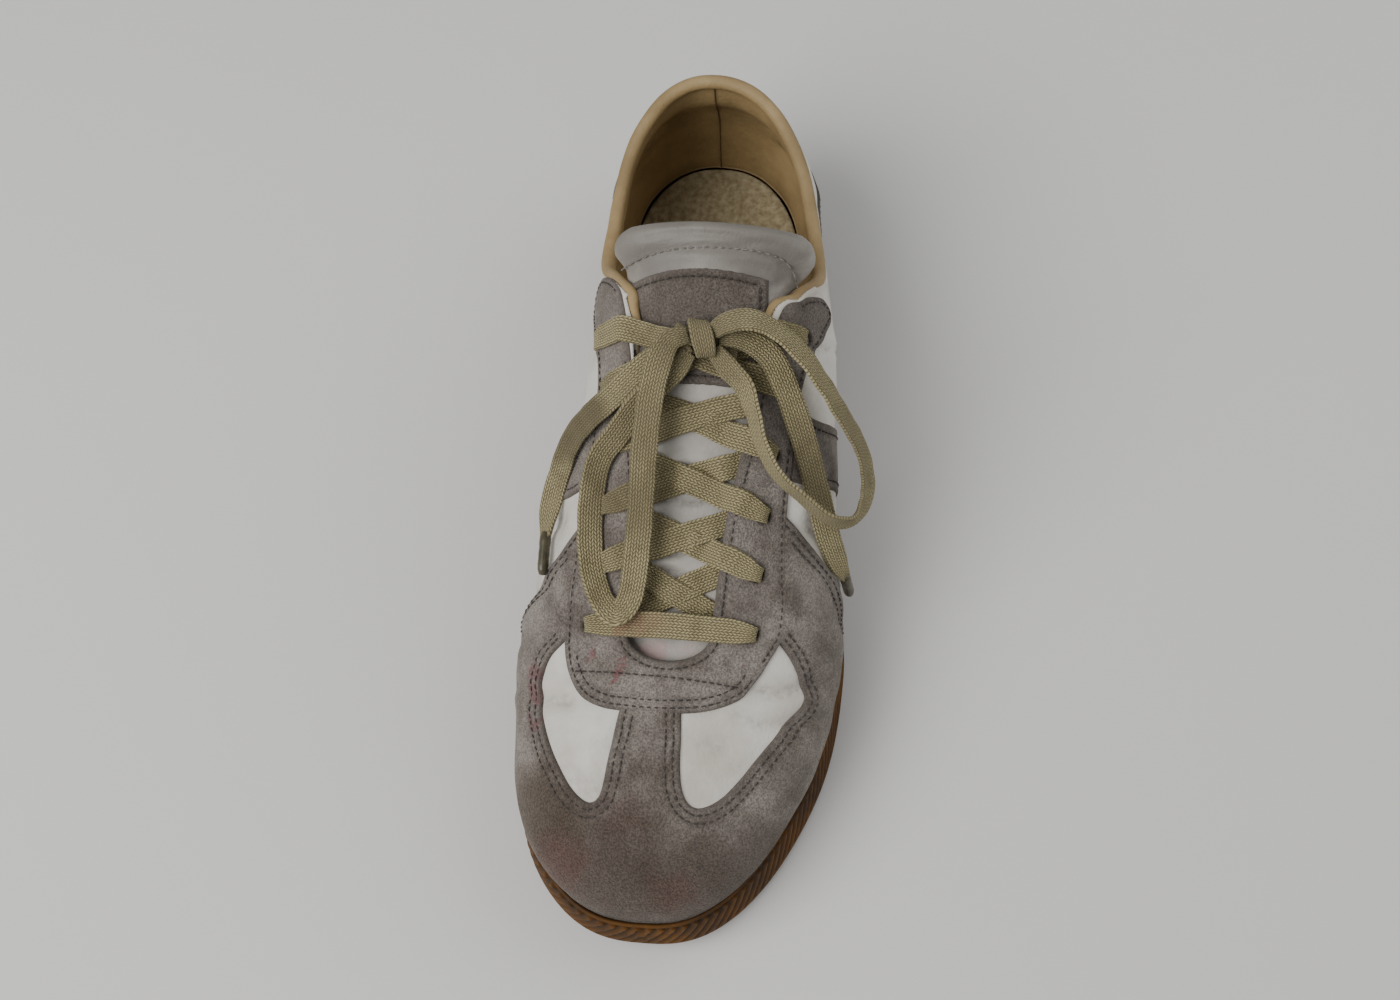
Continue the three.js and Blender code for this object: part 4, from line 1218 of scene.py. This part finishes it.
# Padded tongue: half width and crown are by station, creases and stitch line by (station, across)
tongue = {
    "half": [[-60, 27], [-58.5, 30], [-56.5, 31.5], [-54, 31.8], [-52, 30], [-50, 28], [-47, 26.5],
             [-42, 25], [-36, 24.5], [-13, 24], [20, 22], [64, 18], [73, 15]],
    "thick": 5.2,
    "front": 73, "top": -60.0,
    "clear": 0.1,  # under the eyestays
    "freeX": -46.0, "flatten": 0.6, "slope": 0.46,  # above freeX it stands free and opens flat
    "slide": 3.6,  # the free top has slid a little to the outer side
    "patch": [(-46.6, -26.5), (-13.2, 20.5)],
}
tongueStitch = [(-50.6, -27), (-51.7, -14), (-52.6, 4), (-52.8, 18), (-52, 25.5), (-49, 29.6),
                (-43.5, 30)]
tongueCreases = [
    ([(41, -10), (40, -3), (42, 4), (41, 11)], 1.0, 1.3),
    ([(34, -11), (35, -2), (33, 6), (34, 11)], 0.8, 1.1),
    ([(29, -9), (30, 0), (28, 9)], 0.8, 1.2), ([(12, -12), (10, 0), (12, 12)], 0.9, 1.4),
    ([(-4, -14), (-6, -2), (-4, 13)], 0.5, 1.5), ([(18, -10), (20, 2), (18, 10)], 0.4, 1.0),
    ([(-40, 24), (-46, 29), (-51, 31)], 0.6, 1.6), ([(-54.5, -12), (-56, 2), (-55, 16)], 0.35, 1.0),
    ([(56, -9), (57, 0), (56, 8)], 0.4, 0.9), ([(50, -9), (48, 1), (50, 9)], 0.5, 1.1),
    ([(-49, -22), (-49.5, -8), (-48.6, 6), (-49.4, 18)], 0.3, 0.8),
    ([(-55.4, -20), (-56.6, -6), (-55.8, 4)], 0.25, 0.7),
    ([(-46, 23), (-49.5, 26), (-51, 24)], 0.4, 0.9), ([(-54, 12), (-55.4, 22), (-53.4, 29)], 0.35, 0.9),
]


def ease(t):
    t = np.clip(t, 0, 1)
    return t * t * (3 - 2 * t)


def tongueShape(x, a):
    under = upperWall + gap + tongue["clear"]
    held = np.maximum(x, tongue["freeX"])
    side = np.where(a < 0, -1.0, 1.0)
    point = lastPoint(held, riseAtHalf(held, side, np.abs(a), under), side, under)
    crown = lastPoint(held, np.ones_like(held), side, under)
    flat = 1 - tongue["flatten"] * ease((tongue["freeX"] - x) / 10)
    z = smooth("tongueCrown", x) + (point[..., 2] - crown[..., 2]) * flat
    return np.stack([point[..., 0] + x - held, point[..., 1], z], -1)


tongueXs, tongueAs = np.arange(-62, 76.0), np.arange(-38, 41.0)
tongueTable = tongueShape(*np.meshgrid(tongueXs, tongueAs, indexing="ij"))
tongueUp = np.array((tongue["slope"], 0, 1)) / math.hypot(1, tongue["slope"])


# Point of the tongue at station x, a mm across from its middle line, lifted off its face
def tonguePoint(x, a, lift):
    x, a = np.asarray(x, float), np.asarray(a, float)
    i = np.clip((x - tongueXs[0]), 0, len(tongueXs) - 1.001)
    j = np.clip((a - tongueAs[0]), 0, len(tongueAs) - 1.001)
    r, c = i.astype(int), j.astype(int)
    u, v = (i - r)[..., None], (j - c)[..., None]
    near = tongueTable[r, c] * (1 - v) + tongueTable[r, c + 1] * v
    far = tongueTable[r + 1, c] * (1 - v) + tongueTable[r + 1, c + 1] * v
    return near * (1 - u) + far * u + np.asarray(lift, float)[..., None] * tongueUp


def tonguePuff(x, a):
    spots = np.stack([np.ravel(x), np.ravel(a)], 1)
    rise = np.zeros(len(spots))
    for line, depth, width in tongueCreases:
        d = nearLine(spots, smoothLine(line, 1.5)) / width
        rise += depth * (0.5 * np.exp(-(np.abs(d) - 2) ** 2) - np.exp(-d ** 2))
    d = nearLine(spots, smoothLine(tongueStitch, 1.0))
    rise -= 1.1 * np.exp(-(d / 1.7) ** 2)
    soft = np.array([noise.noise(Vector((p[0], p[1], 3.0)) / 13) for p in spots])
    full = 0.7 * np.clip((-38 - spots[:, 0]) / 10, 0, 1)
    return (rise + 0.5 * soft + full).reshape(np.shape(x))


def makeTongue():
    rows = np.concatenate([np.linspace(tongue["front"], -50, 130), np.linspace(-50, -58.8, 20)[1:],
                           [-59.3, -59.7, tongue["top"]]])
    around = 84
    turn = np.linspace(0, 2 * math.pi, around, endpoint=False)
    points = []
    creaseValues = []
    for x in rows:
        half = float(smooth(tongue["half"], x))
        closing = math.sqrt(max(0.0, 1 - max(0.0, (-57.4 - x) / 2.7) ** 2))
        c, s = np.cos(turn), np.sin(turn)
        slide = tongue["slide"] * float(ease((-42 - x) / 10))
        a = half * np.sign(c) * np.abs(c) ** 0.8 + slide
        thick = tongue["thick"] * max(closing, 0.02)
        top = np.sign(s) * np.abs(s) ** 0.62
        edgeFade = np.clip(np.abs(s) * 1.6, 0, 1)
        puff = tonguePuff(np.full(around, x), a) * edgeFade * (s > 0)
        lift = -tongue["thick"] / 2 + thick / 2 * top + puff * closing
        points.append(tonguePoint(np.full(around, x), a, lift))
        creaseValues.append(np.clip(-puff * 1.6, 0, 1))
    faces = [f[::-1] for f in ringFaces(len(rows), around)]
    made = makeObject("tongue_pad", np.concatenate(points), faces, skins["shadedTongueLeather"],
                      ("tongue",))
    setAttribute(made, "crease", np.concatenate(creaseValues))


makeTongue()


def tonguePlace(lift):
    def place(flat):
        x, a = flat[:, 0], flat[:, 1]
        p = tonguePoint(x, a, lift + tonguePuff(x, a))
        up = np.cross(tonguePoint(x + 0.5, a, 0) - tonguePoint(x - 0.5, a, 0),
                      tonguePoint(x, a + 0.5, 0) - tonguePoint(x, a - 0.5, 0))
        return p, up / np.linalg.norm(up, axis=1, keepdims=True)
    return place


sew("tongue_stitches", [smoothLine(tongueStitch, 1.0)], tonguePlace(0.15), "whiteThread")

patch = {"edgeRound": 0.8, "seamIn": 2.4, "grooveDeep": 0.4, "grooveHalf": 0.7}


def makePatch():
    (x0, a0), (x1, a1) = tongue["patch"]
    rows, cols = 60, 72
    u, v = np.meshgrid(np.linspace(0, 1, rows), np.linspace(0, 1, cols), indexing="ij")
    wob = np.array([[noise.noise(Vector((r * 0.35, c * 0.35, 9))) for c in range(cols)]
                    for r in range(rows)])
    x = x0 + (x1 - x0) * u
    a = (a0 + (a1 - a0) * v) * (1 + 0.04 * u)
    edge = np.maximum(np.minimum.reduce([x - x0, x1 - x, a - a0, a1 - a]), 0) + wob * 0.1
    seam = np.abs(edge - patch["seamIn"])
    height = 1.5 * np.sqrt(1 - (1 - np.clip(edge / patch["edgeRound"], 0, 1)) ** 2)
    height -= patch["grooveDeep"] * np.exp(-(seam / patch["grooveHalf"]) ** 2)
    points = tonguePoint(x, a, height - 0.25 + tonguePuff(x, a) * 0.8 + wob * 0.12).reshape(-1, 3)
    made = makeObject("tongue_patch", points, gridFaces(rows, cols, turned=True), skins["suede"])
    setAttribute(made, "edge", np.exp(-np.maximum(edge, 0) / 0.8).ravel())
    # the seam value is painted shade along the stitch line and darkens the suede there
    setAttribute(made, "seam", np.exp(-(seam / 0.9) ** 2).ravel())
    low, high = np.array(tongue["patch"]) + np.array([[1], [-1]]) * patch["seamIn"]
    border = np.array([low, (low[0], high[1]), high, (high[0], low[1])])
    lines = [border[[k, (k + 1) % 4]] for k in range(4)]
    sew("tongue_patch_stitches", lines, tonguePlace(1.15))


makePatch()
print("tongue padded")


lace = {"wide": 8.2, "thick": 1.35, "step": 0.9}
# Its section, with a bead along both edges, in parts of the width and thickness
profile = [(-0.5, 0), (-0.49, 0.34), (-0.45, 0.5), (-0.36, 0.52), (-0.18, 0.44), (0, 0.46), (0.18, 0.44),
           (0.36, 0.52), (0.45, 0.5), (0.49, 0.34), (0.5, 0), (0.49, -0.34), (0.45, -0.5), (0.2, -0.45),
           (-0.2, -0.45), (-0.45, -0.5), (-0.49, -0.34)]


# Rows are x, y, z, upX, upY, upZ and a factor on the width
def ribbon(name, rows, nodes, seed):
    line = smoothLine(rows, lace["step"])
    centre, up, fat = line[:, :3], line[:, 3:6], line[:, 6]
    ahead = np.gradient(centre, axis=0)
    ahead /= np.linalg.norm(ahead, axis=1, keepdims=True)
    across = np.cross(ahead, up)
    across /= np.linalg.norm(across, axis=1, keepdims=True)
    up = np.cross(across, ahead)
    run = runLength(centre)
    frays = np.array([[noise.noise(Vector((r * 0.21, seed * 9.7, k * 5.0))) for k in range(3)]
                      for r in run])
    points, uvs = [], []
    for k in range(len(line)):
        wide = lace["wide"] * fat[k] * (1 + 0.05 * frays[k, 0])
        thick = lace["thick"] / max(fat[k], 0.55) ** 0.5
        cup = 0.35 * frays[k, 1]
        for a, b in profile:
            offset = b * thick + cup * (a * a * 4 - 0.5) + 0.25 * frays[k, 2]
            points.append(centre[k] + across[k] * a * wide + up[k] * offset)
            uvs.append((run[k], a * lace["wide"] + 20))
    faces = [f[::-1] for f in ringFaces(len(line), len(profile))]
    made = makeObject(name, points, faces, skins["cotton"], nodes)
    layer = made.data.uv_layers.new(name="UVMap")
    index = np.empty(len(made.data.loops), int)
    made.data.loops.foreach_get("vertex_index", index)
    layer.data.foreach_set("uv", np.array(uvs)[index].ravel())
    return made


def rowOf(point, up, fat):
    return [*point, *up, fat]


def holeSpot(n, side, lift):
    x = holeX[n]
    g = side * girthAtHalf([x], side, smooth("holeHalf", x))
    return onSkin([x], g, lift)[0], normalAt([x], g)[0]


def holeRows(n, side):
    normal = holeSpot(n, side, 0.0)[1]
    away = np.array(Vector(normal).cross(Vector((side, 0, 0))).normalized())
    return [rowOf(holeSpot(n, side, -5.0)[0], away, 0.55), rowOf(holeSpot(n, side, -1.5)[0], away, 0.55),
            rowOf(holeSpot(n, side, 1.6)[0] + away * 0.5, away + normal, 0.6)]


def halfSpot(x, a, lift):
    side = -1 if a < 0 else 1
    g = side * girthAtHalf([x], side, abs(a))
    return onSkin([x], g, lift)[0], normalAt([x], g)[0]


def onTongue(x, a, lift):
    p, up = tonguePlace(lift)(np.array([(x, a)], float))
    return p[0], up[0]


# Heights of the lace's middle over the leather, where the eyestay's suede is, and over the tongue
overStay, overTongue = 2.2, 1.0
strandAlong = 14  # how far towards the heel a strand has got at the far edge of the throat
hump, humpHalf = 1.25, 5  # where one strand rides over the other


# Out of hole n, over its own eyestay and the throat, then under the far eyestay to the next hole
def strandRows(n, side, onTop):
    fromX, toX = holeX[n], holeX[n] - strandAlong
    reach = float(smooth("holeHalf", fromX))
    farEdge = float(throatHalfAt(toX))
    rows = holeRows(n, side)
    rows.append(rowOf(*halfSpot(fromX - 0.6, side * (reach - 1.8), overStay + 0.3), 0.72))
    start = np.array((fromX - 1.4, side * (reach - 4.2)))
    end = np.array((toX, -side * (farEdge - 1.0)))
    for k in range(9):
        x, a = start + (end - start) * (k / 8)
        drop = float(ease((throatHalfAt(x) - side * a + 1.0) / 6))
        high, upHigh = halfSpot(x, a, overStay) if abs(a) > 1 else onTongue(x, a, overTongue)
        rise = hump * math.exp(-(a / humpHalf) ** 2) if onTop else 0.0
        under = np.clip((-side * a - farEdge + 6) / 5, 0, 1)
        low, upLow = onTongue(x, a, overTongue + rise - 0.9 * under)
        rows.append(rowOf(high * (1 - drop) + low * drop, upHigh * (1 - drop) + upLow * drop,
                          0.9 + 0.1 * min(1, k)))
    rows.append(rowOf(*halfSpot(toX - 1.5, -side * (farEdge + 5), -3.3), 1.0))
    rows.append(rowOf(*holeSpot(n + 1, -side, -4.2), 0.8))
    return rows


# Straight bar between the two foremost eyelets
def makeBar():
    x = holeX[0] - 0.2
    first, last = [[*holeRows(0, side), rowOf(*halfSpot(x, side * 23.7, overStay + 0.4), 0.76),
                    rowOf(*halfSpot(x, side * 20.5, overStay + 0.1), 0.93)] for side in (-1, 1)]
    middle = [rowOf(*halfSpot(x, a if abs(a) > 0.5 else 0.5, overStay - 0.35 * (1 - (a / 15) ** 2)), 1.0)
              for a in np.linspace(-15, 15, 7)]
    ribbon("lace_bar_strap", first + middle + last[::-1], ("lace_bar",), 1)


def makeCrossings():
    # the first lies wholly in the throat, under both eyestays
    for side, onTop, name in ((-1, False, "a"), (1, True, "b")):
        rows = []
        for t in np.linspace(0, 1, 9):
            x, a = 53.5 - 15.5 * t, side * (15.5 - 32 * t)
            rise = hump * math.exp(-(a / humpHalf) ** 2) if onTop else 0.0
            tuck = 0.6 * min(1, max(0, abs(a) - 9) / 4)
            rows.append(rowOf(*onTongue(x, a, overTongue + rise - tuck), 1.0))
        ribbon(f"lace_cross_1{name}_strap", rows, ("lace_cross_1",) if onTop else (), 2 + side)
    for n in range(1, 5):
        for side, name in ((-1, "a"), (1, "b")):
            onTop = (n in (1, 3)) == (side < 0)
            ribbon(f"lace_cross_{n + 1}{name}_strap", strandRows(n, side, onTop),
                   (f"lace_cross_{n + 1}",) if side < 0 else (), 4 + 2 * n + side)


# The last pair lies on the steep flaps, then crosses to the knot
tails = {
    "medial": {"side": -1, "stop": -6.0, "full": 1.0},
    "lateral": {"side": 1, "stop": 10.5, "full": 0.78},
    "onFlap": [(0.13, 0.2, 0.7), (0.3, 0.4, 0.9), (0.48, 0.3, 0.98), (0.7, 0.2, 1.0), (0.92, 0.3, 1.0)],
}


def makeTail(name):
    side, stop, full = tails[name].values()
    x0 = holeX[5]
    fromG = side * float(girthAtHalf([x0], side, smooth("holeHalf", x0))[0])
    toG = float(topAt([x0 + 1.6], side)[0])
    rows = holeRows(5, side)[:2]
    for t, high, fat in tails["onFlap"]:
        x, g = [x0 + 1.6 * t], [fromG + (toG - fromG) * t]
        rows.append(rowOf(onSkin(x, g, overStay + high)[0], normalAt(x, g)[0], fat * full))
    edge = side * (float(throatHalfAt(x0 + 2)) - 3.5)
    for t in (0.3, 0.65, 1.0):
        spot = onTongue(x0 + 2 + 3.6 * t, edge + (stop - edge) * t, 3.4 + 1.4 * t)
        rows.append(rowOf(*spot, full * (0.97 - 0.2 * t)))
    ribbon(f"lace_tail_{name}_strap", rows, (f"lace_tail_{name}",), 20 + side)


makeBar()
makeCrossings()
makeTail("medial")
makeTail("lateral")
print("laces threaded")

# Free lengths of the bow: x, y, z and roll about their own line, from the knot outward
bow = {
    "loop_medial": [
        (-23, 2.2, 110.8, 0), (-20.5, -3.2, 111.5, 0), (-15, -6, 110, 0), (-9, -7.5, 107, 5),
        (-1.5, -8.6, 103.8, 5), (10.5, -9.8, 96, 5), (24.5, -10.2, 87.5, 5), (40, -11.2, 78.5, 5),
        (49.8, -12.6, 73.2, 10), (54.6, -16.5, 70.6, 30), (50.5, -21.5, 70.8, 35),
        (41.5, -25.2, 72.6, 25), (31, -26.8, 75.6, 20), (19, -26.8, 80.6, 18), (9.4, -24.6, 86.8, 18),
        (3, -19, 92.5, 22), (-3, -14, 97.6, 25), (-8.5, -8, 101.6, 20), (-14, -1.5, 104.6, 10),
        (-19, 2.6, 107, 0)],
    "end_medial": [
        (-21.4, 2.4, 107.6, 5), (-18.8, -2.4, 106.3, 10), (-16.8, -9, 104.4, 10),
        (-13, -14.5, 101.8, 12), (-8, -21, 96.6, 15), (-4.2, -29.5, 87.2, 20), (-0.5, -36, 76.6, 25),
        (7, -40.2, 67.4, 25), (17.5, -43, 62.2, 25), (27, -43.6, 60.6, 30)],
    "loop_lateral": [
        (-24, 9.5, 111.5, -10), (-26.2, 14, 113.8, -20), (-27.4, 20, 114, -36), (-26.6, 27, 111.5, -46),
        (-22.2, 35.5, 106.6, -50), (-16, 43, 98.5, -55), (-10, 50, 87, -58), (-5, 56, 76, -62),
        (0.5, 59, 67.5, -62), (7, 59.6, 63.5, -62), (14, 57.5, 65, -64), (20, 53, 70.5, -66),
        (20.8, 46, 78, -68), (17.5, 38.6, 84.4, -68), (13, 31.5, 89.6, -66), (6.6, 26.5, 94.8, -64),
        (-2, 23, 100.5, -58), (-9, 20, 104.4, -45), (-14.6, 14.5, 107.2, -25), (-19.4, 10.2, 108.6, -5)],
    "end_lateral": [
        (-23.2, 11.5, 109.4, 0), (-23.5, 18.4, 109, -5), (-20.8, 26.6, 104.4, -10),
        (-12.6, 32.2, 99.4, -12), (-4, 37, 90.4, -14), (3.7, 40.6, 81.4, -15), (13, 44.2, 72.6, -18),
        (22.3, 47.8, 63.6, -22), (27.6, 51.2, 55.2, -30), (30.2, 54, 47, -35)],
}
aglets = {
    "medial": [(25.4, -43.6, 60.8), (39.4, -43.4, 59.3)],
    "lateral": [(30.0, 53.8, 48), (32.2, 56, 35.5)],
    "radii": [1.3, 1.85, 1.9, 1.75, 1.85, 1.75, 1.85, 1.7, 1.1],  # crimped
}
rollFrom = Vector((0.39, 0.0, 0.92))  # at roll 0 the flat face looks this way


def freeLength(name):
    rows = []
    route = np.array(bow[name], float)
    ahead = np.gradient(route[:, :3], axis=0)
    for (x, y, z, roll), way in zip(route, ahead):
        way = Vector(way).normalized()
        up = (rollFrom - way * rollFrom.dot(way)).normalized()
        rows.append(rowOf((x, y, z), Matrix.Rotation(math.radians(roll), 3, way) @ up, 1.0))
    # pinched in the knot, and at the aglet where there is one
    rows[0][6], rows[1][6] = 0.6, 0.85
    rows[-1][6], rows[-2][6] = (0.42, 0.92) if name.startswith("end") else (0.6, 0.85)
    made = ribbon(f"lace_{name}_strap", rows, (f"lace_{name}",), 30 + len(name))
    path = smoothLine(route[:, :3], 1.0)
    return made, path, float(runLength(path)[-1])


def makeBow():
    for name in ("medial", "lateral"):
        line = np.linspace(*aglets[name], len(aglets["radii"]))
        tube(f"aglet_{name}_tip", line, aglets["radii"], skins["film"], 14,
                          (f"aglet_{name}",))
    makeKnot()
    for name in bow:
        made, path, length = freeLength(name)


knot = {
    "centre": (-22.6, 6.2, 109.6), "ringX": 5.4, "ringZ": 3.7, "wide": 0.86,
    # across under the wrap: y and z of both ends, and how far the band slants
    "bands": [(-4, 104.6, 17.5, 107.5, 2.4), (-3, 107.8, 17, 104.6, -2.6)],
}


def makeKnot():
    cx, cy, cz = knot["centre"]
    rows = []
    for t in np.linspace(-0.62, 1.2, 17):
        turn = math.pi * t
        out = Vector((math.cos(turn), 0.1, math.sin(turn)))
        tight = knot["wide"] * (0.84 + 0.16 * math.sin(max(0, min(1, t)) * math.pi))
        rows.append(rowOf((cx + knot["ringX"] * math.cos(turn), cy + 1.7 * math.cos(turn),
                           cz + knot["ringZ"] * math.sin(turn)), out, tight))
    ribbon("lace_knot_wrap", rows, ("lace_knot",), 41)
    for k, (y0, z0, y1, z1, tilt) in enumerate(knot["bands"]):
        rows = []
        for t in np.linspace(0, 1, 8):
            bulge = math.sin(math.pi * t)
            rows.append(rowOf((cx + tilt * (1 - 2 * t), y0 + (y1 - y0) * t,
                               z0 + (z1 - z0) * t + 1.2 * bulge),
                              (0.25 * (1 - 2 * k), 0, 1), 0.9 - 0.25 * bulge))
        ribbon(f"lace_knot_band_{k + 1}", rows, (), 43 + k)


makeBow()
print("bow tied")


sole = {
    "ribPitch": 4.0, "ribDeep": 1.7, "ribLean": 0.55, "lipTall": 1.5, "flare": 2.0,
    "treadDeep": 1.6, "treadPitch": 5.2, "chevron": 15, "meshStep": 0.62,
}


# Grid of points between both edges of the sole, moved inward
def soleGrid(xs, inset, cols):
    t = np.linspace(0, 1, cols)[None, :, None]
    return soleEdge(xs, -1, inset, 0.0)[:, None] * (1 - t) + soleEdge(xs, 1, inset, 0.0)[:, None] * t


def makeSole():
    xs = stations
    ring = np.concatenate([soleEdge(xs, -1, 0.0, 0.0), soleEdge(xs, 1, 0.0, 0.0)[::-1][1:-1]])
    ringX = np.concatenate([xs, xs[::-1][1:-1]])
    run = runLength(closedLine(ring))
    count = int(run[-1] / sole["meshStep"])
    q = np.linspace(0, run[-1], count, endpoint=False)
    xq = np.interp(q, run, closedLine(ringX))
    side = np.where(q <= run[len(xs) - 1], -1.0, 1.0)
    lip, ground = smooth("lipZ", xq), np.maximum(0, smooth("groundZ", xq))
    flat = soleEdge(xq, side, 0.0, 0.0)
    ahead = np.roll(flat, -1, 0) - np.roll(flat, 1, 0)
    out = np.stack([ahead[:, 1], -ahead[:, 0], np.zeros(count)], 1)
    out /= np.linalg.norm(out, axis=1, keepdims=True)
    ribs = round(run[-1] / sole["ribPitch"])
    rows, hollowShadeAndGrime = [], []

    # dirt is each row's hollow value: painted shade with grime, darkest round the tread, in the rib
    # troughs, under the lip and inside the cup
    def addRow(z, inset, push=0.0, dirt=0.0):
        rows.append(soleEdge(xq, side, inset, z) + out * np.asarray(push)[..., None])
        hollowShadeAndGrime.append(np.broadcast_to(dirt, (count,)).astype(float))

    # round the edge of the tread, up the ribbed wall, over the lip and down inside the cup
    addRow(ground + sole["treadDeep"], 5.0, dirt=0.9)
    addRow(ground, 4.6, dirt=0.5)
    addRow(ground, 1.7, dirt=0.5)
    addRow(ground + 0.5, 0.8, dirt=0.5)
    bandLow, bandHigh = ground + 1.6, lip - sole["lipTall"]
    for t in np.linspace(0, 1, 19):
        z = bandLow + (bandHigh - bandLow) * t
        fade = min(1, 7 * t)
        phase = 2 * math.pi * (q / run[-1] * ribs - (z / sole["ribPitch"]) * sole["ribLean"])
        wave = np.abs(np.sin(phase / 2)) ** 1.1
        lean = sole["flare"] * t ** 1.5
        addRow(z, lean - 1.0, (wave - 1) * sole["ribDeep"] * fade, (1 - wave) ** 0.7 * fade)
    addRow(bandHigh + 0.25, 2.3, dirt=0.85)
    for t in np.linspace(0, 1, 6):
        turn = math.pi * (t * 0.75 - 0.25)
        addRow(lip - 0.7 + 0.7 * math.sin(turn), 2.6 - 0.7 * math.cos(turn), dirt=0.15 + 0.3 * t)
    addRow(lip - 0.15, 2.9, dirt=0.6)
    addRow(lip - 0.8, soleWall, dirt=0.9)
    addRow(smooth("floorZ", xq), soleWall, dirt=0.9)
    faces = ringFaces(len(rows), count, capped=False)

    cols = 81
    tread = soleGrid(xs, 4.8, cols)
    x, y = tread[..., 0], tread[..., 1]
    zigzag = np.abs(((y + 200) / sole["chevron"]) % 1 - 0.5) * sole["chevron"]
    wave = np.sin(2 * math.pi * (x + zigzag) / sole["treadPitch"])
    groove = 1 / (1 + np.exp(-(wave - 0.25) * 9))
    tread[..., 2] = np.maximum(0, smooth("groundZ", x)) + sole["treadDeep"] * groove * 0.9
    floor = soleGrid(xs, soleWall - 0.2, cols)
    floor[..., 2] = smooth("floorZ", floor[..., 0])
    base = len(rows) * count
    faces += [f[::-1] for f in gridFaces(len(xs), cols, base)]
    faces += gridFaces(len(xs), cols, base + len(xs) * cols)
    points = np.concatenate([*rows, tread.reshape(-1, 3), floor.reshape(-1, 3)])
    made = makeObject("gum_cupsole", points, faces, skins["gum"], ("sole",))
    setAttribute(made, "hollowShadeAndGrime", np.concatenate([*hollowShadeAndGrime, groove.ravel(), np.zeros(groove.size)]))


makeSole()
print("cupsole moulded")

insole = {"inset": 6.9, "thick": 5.0, "dish": 1.2}


def makeInsole():
    xs, cols = stations[::2], 41
    low = soleGrid(xs, insole["inset"], cols)
    low[..., 2] = smooth("floorZ", low[..., 0]) + gap
    top = low.copy()
    top[..., 2] += insole["thick"] - insole["dish"] * (1 - np.abs(np.linspace(-1, 1, cols)) ** 3)
    n = len(xs) * cols
    faces = gridFaces(len(xs), cols) + gridFaces(len(xs), cols, n, turned=True)
    for a in range(0, n - cols, cols):
        b = a + cols
        faces.append((a, n + a, n + b, b))
        a, b = a + cols - 1, b + cols - 1
        faces.append((a, b, n + b, n + a))
    points = np.concatenate([top.reshape(-1, 3), low.reshape(-1, 3)])
    makeObject("insole_sock", points, faces, skins["sock"], ("insole",))


makeInsole()
print("insole laid")

studio = {
    "keyPower": 18, "fillPower": 6, "skyColour": "#e9edf2", "skyStrength": 0.36,
    "floorColour": "#d9d7d3", "floorHalf": 3,
}


def makeStudio():
    mesh = bpy.data.meshes.new("floor")
    half = studio["floorHalf"]
    corners = [(-half, -half, 0), (half, -half, 0), (half, half, 0), (-half, half, 0)]
    mesh.from_pydata(corners, [], [(0, 1, 2, 3)])
    floor = bpy.data.objects.new("floor", mesh)
    bpy.context.scene.collection.objects.link(floor)
    mesh.materials.append(plainMaterial("paperFloor", *[studio["floorColour"]] * 2, 0.9, 40, 0.0))
    world = bpy.data.worlds.new("studio")
    bpy.context.scene.world = world
    world.use_nodes = True
    back = world.node_tree.nodes["Background"]
    back.inputs["Color"].default_value = linear(studio["skyColour"])
    back.inputs["Strength"].default_value = studio["skyStrength"]
    for name, place, size, power in (("key", (0.5, -0.7, 1.1), 1.0, studio["keyPower"]),
                                     ("fill", (-0.5, 0.9, 0.8), 1.2, studio["fillPower"])):
        lamp = bpy.data.objects.new(name, bpy.data.lights.new(name, "AREA"))
        lamp.data.size = size
        lamp.data.energy = power
        lamp.location = place
        lamp.rotation_mode = "QUATERNION"
        lamp.rotation_quaternion = (-Vector(place)).to_track_quat("-Z", "Y")
        bpy.context.scene.collection.objects.link(lamp)


makeStudio()
print("studio lit")
